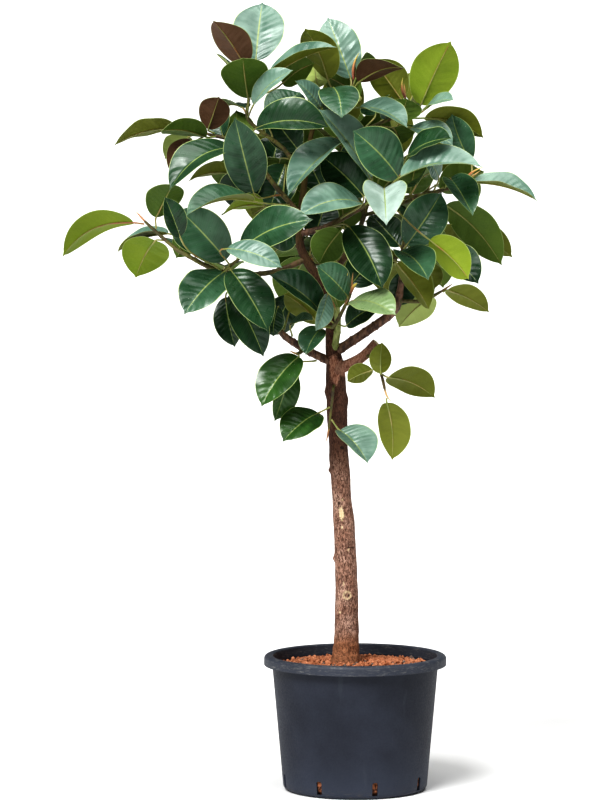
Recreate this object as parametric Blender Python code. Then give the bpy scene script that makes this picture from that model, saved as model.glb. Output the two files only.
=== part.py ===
"""Potted rubber plant: a nursery pot, its clay-granule substrate, a pruned woody trunk with a leader,
the branches that grow from them and the larger leaves, each leaf on its own petiole.

Frame: origin at the centre of the pot's underside, +Z up, +X right and -Y towards the front. Metres.
"""

import math

import bmesh
import bpy
from mathutils import Vector
from mathutils.bvhtree import BVHTree

# Pot
POT_HEIGHT = 0.305
RIM_OVERHANG = 0.0185
RIM_HEIGHT = 0.022
RIM_CHAMFER = 0.002
RIM_ROLL = 0.42  # share of the overhang that the rim rounds off
LIP_LEAN = 0.4  # share of the wall by which the mouth leans outwards
SHOULDER_RADIUS = 0.188
BASE_RADIUS = 0.1635
BASE_CORNER = 0.012
POT_WALL = 0.0035
POT_SEGMENTS = 56
SLOT_COUNT = 8
SLOT_WIDTH = 0.0125
SLOT_HEIGHT = 0.030
SLOT_BOTTOM = 0.008
SLOT_TURN = math.radians(15)

# Substrate
SURFACE_DROP = 0.0155
EDGE_DROP = 0.026
EDGE_ROUND = 0.004
CROWN_DROP = 0.001
SOCKET_DEPTH = 0.055

# Trunk and branches
FORK_HEIGHT = 0.7065
TRUNK_GIRTH = 1.0
TRUNK_SIDES = 12
BRANCH_SIDES = 8
PATH_STEP = 0.028

# Leaves
LEAF_WIDTH = 1.0
LEAF_HALF_THICKNESS = 0.0007
PETIOLE_RADIUS = 0.0021
PETIOLE_LEAST = 0.012
JOINED_ROOT = 0.6

# Fits
CLEARANCE = 0.0003
SWING_STEP = 0.012
SWINGS = 12

RIM_RADIUS = SHOULDER_RADIUS + RIM_OVERHANG
SURFACE_Z = POT_HEIGHT - SURFACE_DROP
FORK_X = -0.0443

# The substrate's surface as (share of the inner radius, fall towards the edge as a share).
MOUND = ((0.0, 0.0), (0.38, 0.0), (0.65, 0.25), (0.84, 0.67))

# Height above the substrate as a share of the fork's height, sideways place, radius. A height below
# the substrate is a share of the socket's depth.
TRUNK_STATIONS = (
    (-1.0, -0.0205, 0.026),
    (-0.27, -0.0205, 0.033),
    (0.0, -0.0205, 0.0355),
    (0.028, -0.021, 0.0308),
    (0.076, -0.0196, 0.028),
    (0.172, -0.0196, 0.0268),
    (0.268, -0.020, 0.0252),
    (0.363, -0.0224, 0.0242),
    (0.459, -0.0263, 0.0236),
    (0.522, -0.0302, 0.0219),
    (0.586, -0.0331, 0.0225),
    (0.650, -0.0370, 0.0222),
    (0.713, -0.0387, 0.0214),
    (0.793, -0.0414, 0.0236),
    (0.850, -0.0428, 0.0222),
    (0.904, -0.0443, 0.0222),
    (0.960, -0.0465, 0.0195),
)

# Stems as points (x, y, height, radius) measured from the fork. The leader goes on from the trunk.
STEMS = {
    "leader": (
        (-0.010, 0.000, 0.018, 0.0140),
        (-0.012, 0.000, 0.080, 0.0125),
        (-0.031, 0.000, 0.146, 0.0115),
        (-0.063, 0.000, 0.198, 0.0105),
        (-0.081, 0.000, 0.241, 0.0095),
        (-0.079, 0.000, 0.304, 0.0082),
        (-0.070, 0.010, 0.383, 0.0070),
        (-0.061, 0.010, 0.450, 0.0060),
        (-0.050, 0.010, 0.500, 0.0052),
        (-0.013, 0.010, 0.540, 0.0045),
        (0.030, 0.010, 0.574, 0.0040),
        (0.040, 0.010, 0.607, 0.0034),
        (0.045, 0.010, 0.645, 0.0010),
    ),
    "pruned_stub": (
        (0.000, 0.000, -0.045, 0.0135),
        (0.054, -0.020, -0.018, 0.0118),
        (0.092, -0.030, 0.018, 0.0115),
    ),
    "green_stub": (
        (-0.006, -0.004, -0.010, 0.0090),
        (0.004, -0.016, 0.050, 0.0075),
        (0.002, -0.018, 0.098, 0.0070),
    ),
    "top_left": (
        (-0.070, 0.010, 0.383, 0.0060),
        (-0.115, 0.005, 0.450, 0.0052),
        (-0.166, 0.000, 0.490, 0.0045),
        (-0.198, -0.005, 0.522, 0.0040),
        (-0.196, -0.005, 0.562, 0.0035),
        (-0.193, -0.005, 0.602, 0.0010),
    ),
    "top_right": (
        (-0.060, 0.010, 0.455, 0.0050),
        (0.009, 0.015, 0.477, 0.0045),
        (0.088, 0.020, 0.506, 0.0040),
        (0.151, 0.020, 0.535, 0.0036),
        (0.156, 0.020, 0.567, 0.0030),
        (0.153, 0.020, 0.600, 0.0010),
    ),
    "left": (
        (-0.079, 0.000, 0.304, 0.0065),
        (-0.137, -0.010, 0.371, 0.0056),
        (-0.189, -0.020, 0.439, 0.0050),
        (-0.234, -0.020, 0.472, 0.0045),
        (-0.286, -0.020, 0.486, 0.0036),
        (-0.318, -0.020, 0.502, 0.0010),
    ),
    "far_left": (
        (-0.066, 0.000, 0.205, 0.0068),
        (-0.149, -0.030, 0.176, 0.0060),
        (-0.252, -0.060, 0.178, 0.0055),
        (-0.338, -0.050, 0.218, 0.0048),
        (-0.364, -0.040, 0.234, 0.0043),
        (-0.421, -0.030, 0.284, 0.0035),
        (-0.450, -0.030, 0.315, 0.0010),
    ),
    "front_left": (
        (-0.252, -0.060, 0.178, 0.0042),
        (-0.222, -0.100, 0.205, 0.0035),
        (-0.186, -0.125, 0.232, 0.0010),
    ),
    "right_upper": (
        (-0.081, 0.000, 0.262, 0.0078),
        (-0.025, -0.020, 0.277, 0.0070),
        (0.032, -0.040, 0.308, 0.0060),
        (0.083, -0.050, 0.338, 0.0055),
        (0.122, -0.050, 0.369, 0.0045),
        (0.140, -0.050, 0.394, 0.0034),
        (0.150, -0.050, 0.420, 0.0010),
    ),
    "far_right": (
        (0.083, -0.050, 0.338, 0.0048),
        (0.166, -0.020, 0.346, 0.0044),
        (0.241, 0.000, 0.360, 0.0040),
        (0.286, 0.000, 0.378, 0.0035),
        (0.326, 0.000, 0.405, 0.0010),
    ),
    "right_lower": (
        (-0.004, 0.000, -0.006, 0.0110),
        (0.072, -0.012, 0.045, 0.0105),
        (0.130, -0.020, 0.090, 0.0098),
        (0.144, -0.022, 0.135, 0.0080),
        (0.149, -0.030, 0.191, 0.0055),
        (0.149, -0.040, 0.227, 0.0045),
        (0.153, -0.045, 0.257, 0.0032),
        (0.158, -0.045, 0.283, 0.0010),
    ),
    "right_side": (
        (0.139, -0.020, 0.113, 0.0048),
        (0.189, -0.030, 0.112, 0.0044),
        (0.225, -0.040, 0.128, 0.0038),
        (0.263, -0.050, 0.153, 0.0010),
    ),
    "centre": (
        (-0.011, 0.000, 0.050, 0.0050),
        (-0.002, -0.050, 0.061, 0.0045),
        (0.018, -0.090, 0.101, 0.0040),
        (0.032, -0.110, 0.135, 0.0034),
        (0.037, -0.120, 0.180, 0.0010),
    ),
    "low_left": (
        (-0.004, 0.000, -0.030, 0.0098),
        (-0.070, -0.020, 0.004, 0.0092),
        (-0.119, -0.040, 0.038, 0.0075),
        (-0.137, -0.050, 0.072, 0.0040),
        (-0.149, -0.055, 0.105, 0.0010),
    ),
    "low_front": (
        (-0.070, -0.020, 0.004, 0.0045),
        (-0.086, -0.060, -0.004, 0.0038),
        (-0.104, -0.092, 0.004, 0.0010),
    ),
    "low_right": (
        (0.064, -0.022, -0.009, 0.0045),
        (0.084, -0.048, -0.016, 0.0040),
        (0.101, -0.060, -0.050, 0.0035),
        (0.112, -0.065, -0.094, 0.0030),
        (0.124, -0.070, -0.112, 0.0010),
    ),
    "sprout": (
        (-0.003, 0.000, -0.074, 0.0032),
        (-0.006, -0.034, -0.086, 0.0032),
        (-0.010, -0.038, -0.124, 0.0029),
        (-0.016, -0.037, -0.175, 0.0024),
        (-0.022, -0.038, -0.205, 0.0010),
    ),
    "back": (
        (-0.031, 0.000, 0.146, 0.0078),
        (0.030, 0.080, 0.220, 0.0066),
        (0.066, 0.150, 0.300, 0.0055),
        (0.078, 0.200, 0.375, 0.0042),
        (0.080, 0.222, 0.430, 0.0010),
    ),
    "back_left": (
        (0.030, 0.080, 0.220, 0.0052),
        (-0.050, 0.165, 0.265, 0.0045),
        (-0.118, 0.220, 0.322, 0.0036),
        (-0.142, 0.240, 0.360, 0.0010),
    ),
    "back_right": (
        (0.066, 0.150, 0.300, 0.0046),
        (0.140, 0.170, 0.322, 0.0042),
        (0.205, 0.180, 0.352, 0.0034),
        (0.225, 0.185, 0.388, 0.0010),
    ),
    "back_top": (
        (0.066, 0.150, 0.300, 0.0044),
        (0.036, 0.130, 0.372, 0.0040),
        (0.014, 0.125, 0.440, 0.0034),
        (0.010, 0.130, 0.490, 0.0010),
    ),
    "back_low": (
        (0.030, 0.080, 0.220, 0.0046),
        (-0.016, 0.122, 0.196, 0.0040),
        (-0.046, 0.170, 0.186, 0.0034),
        (-0.058, 0.200, 0.214, 0.0010),
    ),
    "back_side": (
        (0.030, 0.080, 0.220, 0.0046),
        (0.092, 0.092, 0.200, 0.0040),
        (0.150, 0.112, 0.208, 0.0034),
        (0.184, 0.122, 0.236, 0.0010),
    ),
}

# Each branch is one grown piece of one or more stems.
BRANCHES = {
    "branch_top_left": ("top_left",),
    "branch_top_right": ("top_right",),
    "branch_left": ("left",),
    "branch_far_left": ("far_left", "front_left"),
    "branch_right_upper": ("right_upper", "far_right"),
    "branch_right_lower": ("right_lower", "right_side"),
    "branch_low_left": ("low_left", "low_front"),
    "branch_back": ("back", "back_left", "back_right", "back_top", "back_low", "back_side"),
    "shoot_centre": ("centre",),
    "shoot_low_right": ("low_right",),
    "sprout_trunk": ("sprout",),
}

# Leaves: name, stem, blade base and tip from the fork, width, turn and tilt of the upper side in
# degrees (turn 0 faces the front, 90 the right; tilt 90 faces up), fold in degrees, arch as a share.
LEAVES = (
    ("top_left_1", "top_left", (-0.180, 0.000, 0.652), (-0.166, 0.090, 0.783), 0.116, 0, 35, 8, 0.06),
    ("top_left_2", "top_left", (-0.204, -0.010, 0.640), (-0.274, -0.060, 0.738), 0.094, 150, 22, 12, 0.06),
    ("top_left_3", "top_left", (-0.197, -0.020, 0.566), (-0.207, -0.120, 0.655), 0.106, 180, 46, 12, 0.05),
    ("top_left_4", "top_left", (-0.153, -0.020, 0.608), (0.002, -0.030, 0.680), 0.092, 0, 80, 30, 0.07),
    ("top_left_5", "top_left", (-0.176, -0.110, 0.500), (-0.018, -0.140, 0.502), 0.105, 0, 42, 30, 0.14),
    ("top_1", "leader", (-0.018, 0.000, 0.610), (-0.070, -0.060, 0.722), 0.090, 150, 25, 14, 0.05),
    ("top_2", "leader", (0.033, 0.025, 0.612), (-0.018, 0.080, 0.749), 0.095, 0, 32, 12, 0.05),
    ("top_3", "leader", (0.052, -0.010, 0.603), (0.148, -0.105, 0.632), 0.090, 180, 60, 14, 0.10),
    ("top_4", "leader", (-0.006, -0.020, 0.590), (0.011, -0.145, 0.522), 0.090, 0, 55, 10, 0.08),
    ("top_right_1", "top_right", (0.150, 0.020, 0.562), (0.082, 0.020, 0.655), 0.094, 165, 25, 14, 0.05),
    ("top_right_2", "top_right", (0.191, 0.000, 0.552), (0.256, -0.035, 0.693), 0.106, 185, 15, 10, 0.05),
    ("top_right_3", "top_right", (0.200, 0.020, 0.522), (0.333, 0.030, 0.477), 0.090, 180, 58, 16, 0.12),
    ("left_1", "left", (-0.232, -0.070, 0.455), (-0.369, -0.160, 0.362), 0.100, -20, 48, 18, 0.16),
    ("left_2", "left", (-0.184, -0.080, 0.356), (-0.225, -0.120, 0.524), 0.096, 10, 5, 12, 0.04),
    ("left_3", "left", (-0.358, -0.020, 0.499), (-0.497, -0.050, 0.460), 0.086, 180, 62, 14, 0.10),
    ("left_4", "left", (-0.115, 0.035, 0.416), (-0.150, -0.005, 0.312), 0.096, 0, 34, 14, 0.06),
    ("far_left_1", "far_left", (-0.454, -0.030, 0.288), (-0.612, -0.050, 0.212), 0.098, 180, 58, 14, 0.20),
    ("far_left_2", "far_left", (-0.406, -0.010, 0.247), (-0.454, 0.080, 0.160), 0.106, 180, 30, 10, 0.08),
    ("far_left_3", "far_left", (-0.403, -0.035, 0.300), (-0.362, -0.120, 0.376), 0.084, 195, 35, 14, 0.06),
    ("front_left_1", "front_left", (-0.250, -0.095, 0.180), (-0.336, -0.186, 0.090), 0.106, -15, 40, 12, 0.08),
    ("front_left_2", "front_left", (-0.234, -0.105, 0.184), (-0.151, -0.175, 0.052), 0.100, 15, 32, 14, 0.08),
    ("front_left_3", "front_left", (-0.214, -0.145, 0.226), (-0.052, -0.235, 0.300), 0.104, 0, 36, 12, 0.10),
    ("front_left_4", "far_left", (-0.246, -0.080, 0.207), (-0.352, -0.075, 0.320), 0.104, -15, 20, 14, 0.05),
    ("front_left_5", "far_left", (-0.234, -0.060, 0.130), (-0.162, -0.100, -0.009), 0.082, 5, 22, 14, 0.06),
    ("right_upper_1", "right_upper", (0.076, -0.060, 0.388), (-0.040, -0.075, 0.542), 0.104, 25, 44, 30, 0.06),
    ("right_upper_2", "right_upper", (0.137, -0.085, 0.392), (0.036, -0.130, 0.495), 0.110, 5, 28, 12, 0.06),
    ("right_upper_3", "right_upper", (0.143, -0.090, 0.392), (0.322, -0.130, 0.414), 0.100, 0, 58, 26, 0.12),
    ("right_upper_4", "right_upper", (0.052, -0.110, 0.335), (-0.083, -0.210, 0.308), 0.094, 0, 46, 18, 0.12),
    ("right_upper_5", "right_upper", (0.106, -0.110, 0.366), (0.108, -0.255, 0.288), 0.118, 0, 70, 36, 0.08),
    ("right_upper_6", "right_upper", (0.029, -0.105, 0.280), (0.101, -0.180, 0.146), 0.102, 10, 28, 12, 0.07),
    ("far_right_1", "far_right", (0.306, -0.005, 0.378), (0.452, -0.010, 0.336), 0.082, 10, 70, 30, 0.08),
    ("far_right_2", "far_right", (0.248, 0.015, 0.326), (0.376, 0.050, 0.189), 0.092, 180, 32, 14, 0.10),
    ("far_right_3", "far_right", (0.268, 0.045, 0.266), (0.403, 0.070, 0.205), 0.084, 180, 52, 14, 0.10),
    ("right_lower_1", "right_lower", (0.158, -0.060, 0.240), (0.236, -0.035, 0.356), 0.098, 15, 20, 14, 0.05),
    ("right_lower_2", "right_lower", (0.220, -0.030, 0.226), (0.317, -0.090, 0.153), 0.098, 20, 38, 14, 0.10),
    ("right_lower_3", "right_lower", (0.144, -0.075, 0.225), (0.202, -0.200, 0.166), 0.092, 10, 48, 24, 0.08),
    ("right_side_1", "right_side", (0.245, -0.045, 0.136), (0.345, 0.000, 0.086), 0.068, 180, 48, 12, 0.10),
    ("centre_1", "centre", (0.036, -0.120, 0.117), (0.130, -0.210, 0.090), 0.088, 10, 46, 12, 0.10),
    ("centre_2", "centre", (-0.032, -0.085, 0.088), (-0.149, -0.145, 0.176), 0.092, -10, 44, 30, 0.08),
    ("low_left_1", "low_front", (-0.084, -0.085, -0.010), (-0.166, -0.150, -0.117), 0.092, -10, 38, 14, 0.08),
    ("low_left_2", "low_left", (-0.100, -0.035, -0.036), (-0.138, -0.065, -0.156), 0.072, 45, 20, 18, 0.06),
    ("sprout_1", "sprout", (-0.040, -0.055, -0.138), (-0.119, -0.135, -0.196), 0.088, -10, 38, 12, 0.08),
    ("sprout_2", "sprout", (0.009, -0.055, -0.177), (0.070, -0.110, -0.246), 0.104, 35, 25, 26, 0.08),
    ("low_right_1", "low_right", (0.117, -0.070, -0.056), (0.223, -0.010, -0.106), 0.088, 180, 44, 12, 0.10),
    ("low_right_2", "low_right", (0.113, -0.072, -0.106), (0.126, -0.045, -0.245), 0.082, 158, 10, 20, 0.06),
    ("back_1", "back", (0.080, 0.235, 0.400), (0.060, 0.370, 0.330), 0.102, 180, 42, 12, 0.10),
)

# The rear branch's other leaves, grown in one piece with it.
REAR_LEAVES = (
    ("rear_2", "back", (0.062, 0.200, 0.440), (-0.020, 0.240, 0.560), 0.100, 180, 12, 12, 0.05),
    ("rear_3", "back", (0.098, 0.215, 0.435), (0.170, 0.250, 0.545), 0.098, 170, 14, 12, 0.05),
    ("rear_4", "back", (0.096, 0.175, 0.300), (0.165, 0.285, 0.215), 0.098, 160, 40, 12, 0.08),
    ("rear_5", "back_left", (-0.135, 0.262, 0.350), (-0.190, 0.365, 0.280), 0.100, 200, 40, 14, 0.10),
    ("rear_6", "back_left", (-0.160, 0.225, 0.360), (-0.290, 0.200, 0.405), 0.098, 190, 40, 14, 0.08),
    ("rear_7", "back_left", (-0.120, 0.205, 0.362), (-0.165, 0.170, 0.500), 0.096, 190, 8, 12, 0.05),
    ("rear_8", "back_left", (-0.066, 0.185, 0.250), (-0.100, 0.285, 0.160), 0.098, 190, 42, 12, 0.08),
    ("rear_9", "back_left", (-0.095, 0.245, 0.330), (-0.020, 0.350, 0.350), 0.096, 180, 60, 14, 0.10),
    ("rear_10", "back_right", (0.238, 0.205, 0.370), (0.330, 0.295, 0.325), 0.096, 160, 46, 14, 0.10),
    ("rear_11", "back_right", (0.222, 0.175, 0.402), (0.290, 0.150, 0.515), 0.092, 165, 12, 12, 0.05),
    ("rear_12", "back_right", (0.190, 0.205, 0.330), (0.200, 0.325, 0.260), 0.096, 175, 40, 12, 0.08),
    ("rear_13", "back_top", (-0.010, 0.150, 0.480), (-0.090, 0.230, 0.450), 0.100, 190, 44, 14, 0.10),
    ("rear_14", "back_top", (0.040, 0.140, 0.488), (0.130, 0.190, 0.490), 0.100, 170, 52, 14, 0.10),
    ("rear_15", "back_top", (0.015, 0.160, 0.500), (0.010, 0.150, 0.640), 0.098, 180, 6, 12, 0.05),
    ("rear_16", "back_low", (-0.070, 0.215, 0.200), (-0.120, 0.300, 0.090), 0.098, 195, 34, 12, 0.08),
    ("rear_17", "back_low", (-0.040, 0.220, 0.215), (0.040, 0.300, 0.160), 0.096, 175, 42, 12, 0.08),
    ("rear_18", "back_side", (0.190, 0.140, 0.220), (0.250, 0.230, 0.130), 0.096, 160, 38, 12, 0.08),
    ("rear_19", "back_side", (0.200, 0.110, 0.235), (0.310, 0.100, 0.240), 0.094, 130, 46, 14, 0.10),
)

# Blade stations from base to tip with the half width there as a share of the widest.
BLADE = (
    (0.00, 0.05),
    (0.05, 0.38),
    (0.18, 0.72),
    (0.38, 0.96),
    (0.60, 0.97),
    (0.80, 0.70),
    (0.93, 0.34),
    (1.00, 0.03),
)
# One ring round a blade: share across, share of the thickness.
SECTION = ((-1, 0), (-0.6, 0.8), (0, 1), (0.6, 0.8), (1, 0), (0.6, -0.8), (0, -1), (-0.6, -0.8))


def clear_scene():
    for old in list(bpy.data.objects):
        bpy.data.objects.remove(old, do_unlink=True)


def material(name, colour, roughness):
    """A plain non-metallic material."""
    made = bpy.data.materials.new(name)
    made.use_nodes = True
    shader = made.node_tree.nodes["Principled BSDF"]
    shader.inputs["Base Color"].default_value = (*colour, 1)
    shader.inputs["Roughness"].default_value = roughness
    shader.inputs["Metallic"].default_value = 0.0
    made.diffuse_color = (*colour, 1)
    return made


def add_object(name, vertices, faces, look, smooth_below=40):
    mesh = bpy.data.meshes.new(name)
    mesh.from_pydata([tuple(v) for v in vertices], [], faces)
    work = bmesh.new()
    work.from_mesh(mesh)
    bmesh.ops.recalc_face_normals(work, faces=work.faces)
    work.to_mesh(mesh)
    work.free()
    mesh.materials.append(look)
    mesh.shade_smooth()
    mesh.set_sharp_from_angle(angle=math.radians(smooth_below))
    made = bpy.data.objects.new(name, mesh)
    bpy.context.scene.collection.objects.link(made)
    return made


def as_helper(helper):
    helper.hide_render = True
    helper.display_type = "WIRE"
    return helper


def boolean(target, operation, other):
    modifier = target.modifiers.new(operation.lower() + "_" + other.name, "BOOLEAN")
    modifier.operation = operation
    modifier.object = other


def loft(rings):
    """Vertices and faces of a closed skin through rings of equally many points."""
    count = len(rings[0])
    vertices = [point for ring in rings for point in ring]
    faces = [tuple(range(count))[::-1]]
    for row in range(len(rings) - 1):
        for k in range(count):
            a = row * count + k
            b = row * count + (k + 1) % count
            faces.append((a, b, b + count, a + count))
    faces.append(tuple(range(len(vertices) - count, len(vertices))))
    return vertices, faces


def lathe(name, profile, look):
    """Turns a profile of (radius, height), from the inside over the top and down the outside."""
    mesh = bpy.data.meshes.new(name)
    points = [(radius, 0.0, height) for radius, height in profile]
    mesh.from_pydata(points, [(k, k + 1) for k in range(len(points) - 1)], [])
    mesh.materials.append(look)
    made = bpy.data.objects.new(name, mesh)
    bpy.context.scene.collection.objects.link(made)
    screw = made.modifiers.new("turn", "SCREW")
    screw.axis = "Z"
    screw.steps = POT_SEGMENTS
    screw.render_steps = POT_SEGMENTS
    screw.use_merge_vertices = True
    screw.merge_threshold = 0.00005
    screw.use_smooth_shade = True
    return made


def arc(centre, radius, start, end, steps):
    """Points (radius, height) on an arc between two angles in degrees."""
    turns = [math.radians(start + (end - start) * k / steps) for k in range(steps + 1)]
    return [(centre[0] + radius * math.cos(t), centre[1] + radius * math.sin(t)) for t in turns]


def inner_radius(height):
    """The pot's inside radius at a height between the floor's round corner and the rim."""
    low = POT_WALL + BASE_CORNER
    share = max((height - low) / (POT_HEIGHT - RIM_HEIGHT - low), 0.0)
    return BASE_RADIUS + (SHOULDER_RADIUS - BASE_RADIUS) * share - POT_WALL


def build_pot(look):
    """Tapered shell with a rolled rim, a round foot and drain slots."""
    under_rim = POT_HEIGHT - RIM_HEIGHT
    roll = RIM_OVERHANG * RIM_ROLL
    inner = SHOULDER_RADIUS - POT_WALL
    lip = inner + POT_WALL * LIP_LEAN
    lower = inner_radius(0.0)
    profile = [(0.0, POT_WALL), (lower - BASE_CORNER, POT_WALL)]
    profile += arc((lower - BASE_CORNER, POT_WALL + BASE_CORNER), BASE_CORNER, -60, 0, 2)
    profile += [(inner, under_rim), (lip, POT_HEIGHT - POT_WALL), (SHOULDER_RADIUS, POT_HEIGHT)]
    profile += arc((RIM_RADIUS - roll, POT_HEIGHT - roll), roll, 90, 0, 3)
    profile += [(RIM_RADIUS, under_rim + RIM_CHAMFER * 2), (RIM_RADIUS - RIM_CHAMFER, under_rim)]
    profile += [(SHOULDER_RADIUS, under_rim)]
    profile += arc((BASE_RADIUS - BASE_CORNER, BASE_CORNER), BASE_CORNER, 0, -90, 3)
    profile += [(0.0, 0.0)]
    pot = lathe("pot", profile, look)
    boolean(pot, "DIFFERENCE", build_slot_cutter(look))
    return pot


def build_slot_cutter(look):
    """Boxes through the wall near the foot, one for each drain slot."""
    work = bmesh.new()
    inside = BASE_RADIUS - POT_WALL * 3
    outside = SHOULDER_RADIUS
    for k in range(SLOT_COUNT):
        turn = SLOT_TURN + k * math.tau / SLOT_COUNT
        out = Vector((math.sin(turn), -math.cos(turn), 0))
        side = Vector((math.cos(turn), math.sin(turn), 0)) * SLOT_WIDTH / 2
        corners = []
        for height in (SLOT_BOTTOM, SLOT_BOTTOM + SLOT_HEIGHT):
            up = Vector((0, 0, height))
            for reach, sign in ((inside, -1), (outside, -1), (outside, 1), (inside, 1)):
                corners.append(work.verts.new(out * reach + side * sign + up))
        for face in ((0, 3, 2, 1), (4, 5, 6, 7), (0, 1, 5, 4), (1, 2, 6, 5), (2, 3, 7, 6), (3, 0, 4, 7)):
            work.faces.new([corners[i] for i in face])
    bmesh.ops.recalc_face_normals(work, faces=work.faces)
    mesh = bpy.data.meshes.new("slot_cutter")
    work.to_mesh(mesh)
    work.free()
    mesh.materials.append(look)
    cutter = bpy.data.objects.new("slot_cutter", mesh)
    bpy.context.scene.collection.objects.link(cutter)
    return as_helper(cutter)


def build_substrate(look, trunk_cutter):
    """The packed granules: a low mound that fills the pot with a clearance all round."""
    floor = POT_WALL + CLEARANCE
    foot = floor + BASE_CORNER
    edge = POT_HEIGHT - EDGE_DROP
    crown = SURFACE_Z - CROWN_DROP
    corner = inner_radius(0.0) - CLEARANCE - BASE_CORNER
    shoulder = edge - EDGE_ROUND
    profile = [(inner_radius(edge) * reach, crown - (crown - edge) * fall) for reach, fall in MOUND]
    profile += [(inner_radius(edge) - CLEARANCE - EDGE_ROUND, edge)]
    profile += [(inner_radius(shoulder) - CLEARANCE, shoulder)]
    profile += [(inner_radius(foot) - CLEARANCE * 2, foot), (corner, floor), (0.0, floor)]
    substrate = lathe("substrate", profile, look)
    boolean(substrate, "DIFFERENCE", trunk_cutter)
    return substrate


def smooth_path(points):
    """Catmull-Rom curve through points of any size, with a point about every PATH_STEP."""
    rows = [Vector(p) for p in points]
    rows = [rows[0] * 2 - rows[1], *rows, rows[-1] * 2 - rows[-2]]
    path = []
    for a, b, c, d in zip(rows, rows[1:], rows[2:], rows[3:]):
        steps = max(1, round((c - b).length / PATH_STEP))
        for k in range(steps):
            t = k / steps
            bend = (2 * a - 5 * b + 4 * c - d) * t**2 + (3 * b - a - 3 * c + d) * t**3
            path.append((2 * b + (c - a) * t + bend) / 2)
    path.append(rows[-2])
    return path


def from_fork(point):
    return Vector((FORK_X + point[0], point[1], SURFACE_Z + FORK_HEIGHT + point[2]))


def stem_path(name):
    """The stem's axis as (centre, radius) pairs in the world."""
    rows = smooth_path(STEMS[name])
    return [(from_fork(row), row[3]) for row in rows]


def trunk_path():
    """The trunk from its buried foot to the leader's bud."""
    rows = []
    for share, sideways, radius in TRUNK_STATIONS:
        height = share * (FORK_HEIGHT if share > 0 else SOCKET_DEPTH)
        rows.append((sideways, 0.0, SURFACE_Z + height, radius * TRUNK_GIRTH))
    for x, y, height, radius in STEMS["leader"]:
        place = from_fork((x, y, height))
        rows.append((place.x, place.y, place.z, radius))
    return [(Vector(row[:3]), row[3]) for row in smooth_path(rows)]


def tube_rings(path, sides, extra=0.0):
    """Round rings square to the path, turned as little as possible from one to the next."""
    rings = []
    across = Vector((0, -1, 0))
    for k, (centre, radius) in enumerate(path):
        ahead = path[min(k + 1, len(path) - 1)][0] - path[max(k - 1, 0)][0]
        ahead.normalize()
        across = (across - ahead * across.dot(ahead)).normalized()
        beside = ahead.cross(across)
        ring = []
        for n in range(sides):
            turn = math.tau * n / sides
            ring.append(centre + (across * math.cos(turn) + beside * math.sin(turn)) * (radius + extra))
        rings.append(ring)
    return rings


def tube(name, path, sides, look, extra=0.0):
    return add_object(name, *loft(tube_rings(path, sides, extra)), look)


def build_trunk(name, look, extra=0.0):
    """The trunk with its leader and the two stubs left by pruning."""
    trunk = tube(name, trunk_path(), TRUNK_SIDES, look, extra)
    for stub in ("pruned_stub", "green_stub"):
        piece = tube(name + "_" + stub, stem_path(stub), BRANCH_SIDES, look, extra)
        boolean(trunk, "UNION", as_helper(piece))
    return trunk


def build_branch(name, stems, look, trunk_cutter):
    """One branch: its stems joined, and hollowed at the root to sit on the trunk."""
    branch = tube(name, stem_path(stems[0]), BRANCH_SIDES, look)
    for stem in stems[1:]:
        boolean(branch, "UNION", as_helper(tube(name + "_" + stem, stem_path(stem), BRANCH_SIDES, look)))
    boolean(branch, "DIFFERENCE", trunk_cutter)
    return branch


def petiole_root(path, base, joined):
    """Where a petiole leaves its stem, and the blade's base pushed out if it is too near the stem."""
    near = min(range(len(path)), key=lambda k: (path[k][0] - base).length)
    reach = (path[near][0] - base).length / 2
    while near > 1 and reach > 0:
        reach -= (path[near][0] - path[near - 1][0]).length
        near -= 1
    centre, radius = path[near]
    along = (path[min(near + 1, len(path) - 1)][0] - path[near - 1][0]).normalized()
    out = (base - centre).normalized()
    cosine = abs(out.dot(along))
    sine = max(math.sqrt(1 - cosine**2), 0.35)
    start = (radius + CLEARANCE + PETIOLE_RADIUS * cosine) / sine
    length = max((base - centre).length, start + PETIOLE_LEAST)
    return centre + out * (radius * JOINED_ROOT if joined else start), centre + out * length


def leaf_rings(path, base, tip, width, turn, tilt, fold, arch, swell=0.0, joined=False):
    """Rings of one leaf from the petiole's root to the tip. A joined petiole starts inside its stem."""
    root, base = petiole_root(path, base, joined)
    chord = tip - base
    forward = chord.normalized()
    turn, tilt, fold = math.radians(turn), math.radians(tilt), math.radians(fold)
    face = Vector((math.sin(turn) * math.cos(tilt), -math.cos(turn) * math.cos(tilt), math.sin(tilt)))
    face = (face - forward * face.dot(forward)).normalized()
    side = forward.cross(face)
    thick = LEAF_HALF_THICKNESS + swell
    stations = [(root, base - root, PETIOLE_RADIUS, PETIOLE_RADIUS, 0.0)]
    for u, share in BLADE:
        centre = base + chord * u + face * (arch * chord.length * 4 * u * (1 - u))
        ahead = chord + face * (arch * chord.length * 4 * (1 - 2 * u))
        if u == 0:
            ahead = (base - root).normalized() * chord.length + ahead
        half = max(share * width * LEAF_WIDTH / 2, LEAF_HALF_THICKNESS) + swell
        stations.append((centre, ahead, half, thick + (PETIOLE_RADIUS - thick) * (1 - u) ** 6, fold))
    rings = []
    for centre, ahead, half, high, bend in stations:
        ahead = ahead.normalized()
        across = (side - ahead * side.dot(ahead)).normalized()
        up = across.cross(ahead)
        ring = []
        for v, level in SECTION:
            offset = across * (v * half * math.cos(bend)) + up * (abs(v) * half * math.sin(bend) + level * high)
            ring.append(centre + offset)
        rings.append(ring)
    return rings


def swings():
    """Shifts in depth for a blade's base and tip, the smallest first."""
    yield 0.0, 0.0
    for k in range(1, SWINGS + 1):
        for sign in (-1, 1):
            for share in (0.0, 0.5, 1.0):
                yield sign * k * SWING_STEP * share, sign * k * SWING_STEP


def tree_of(rings):
    vertices, faces = loft(rings)
    return BVHTree.FromPolygons([tuple(v) for v in vertices], faces)


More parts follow.
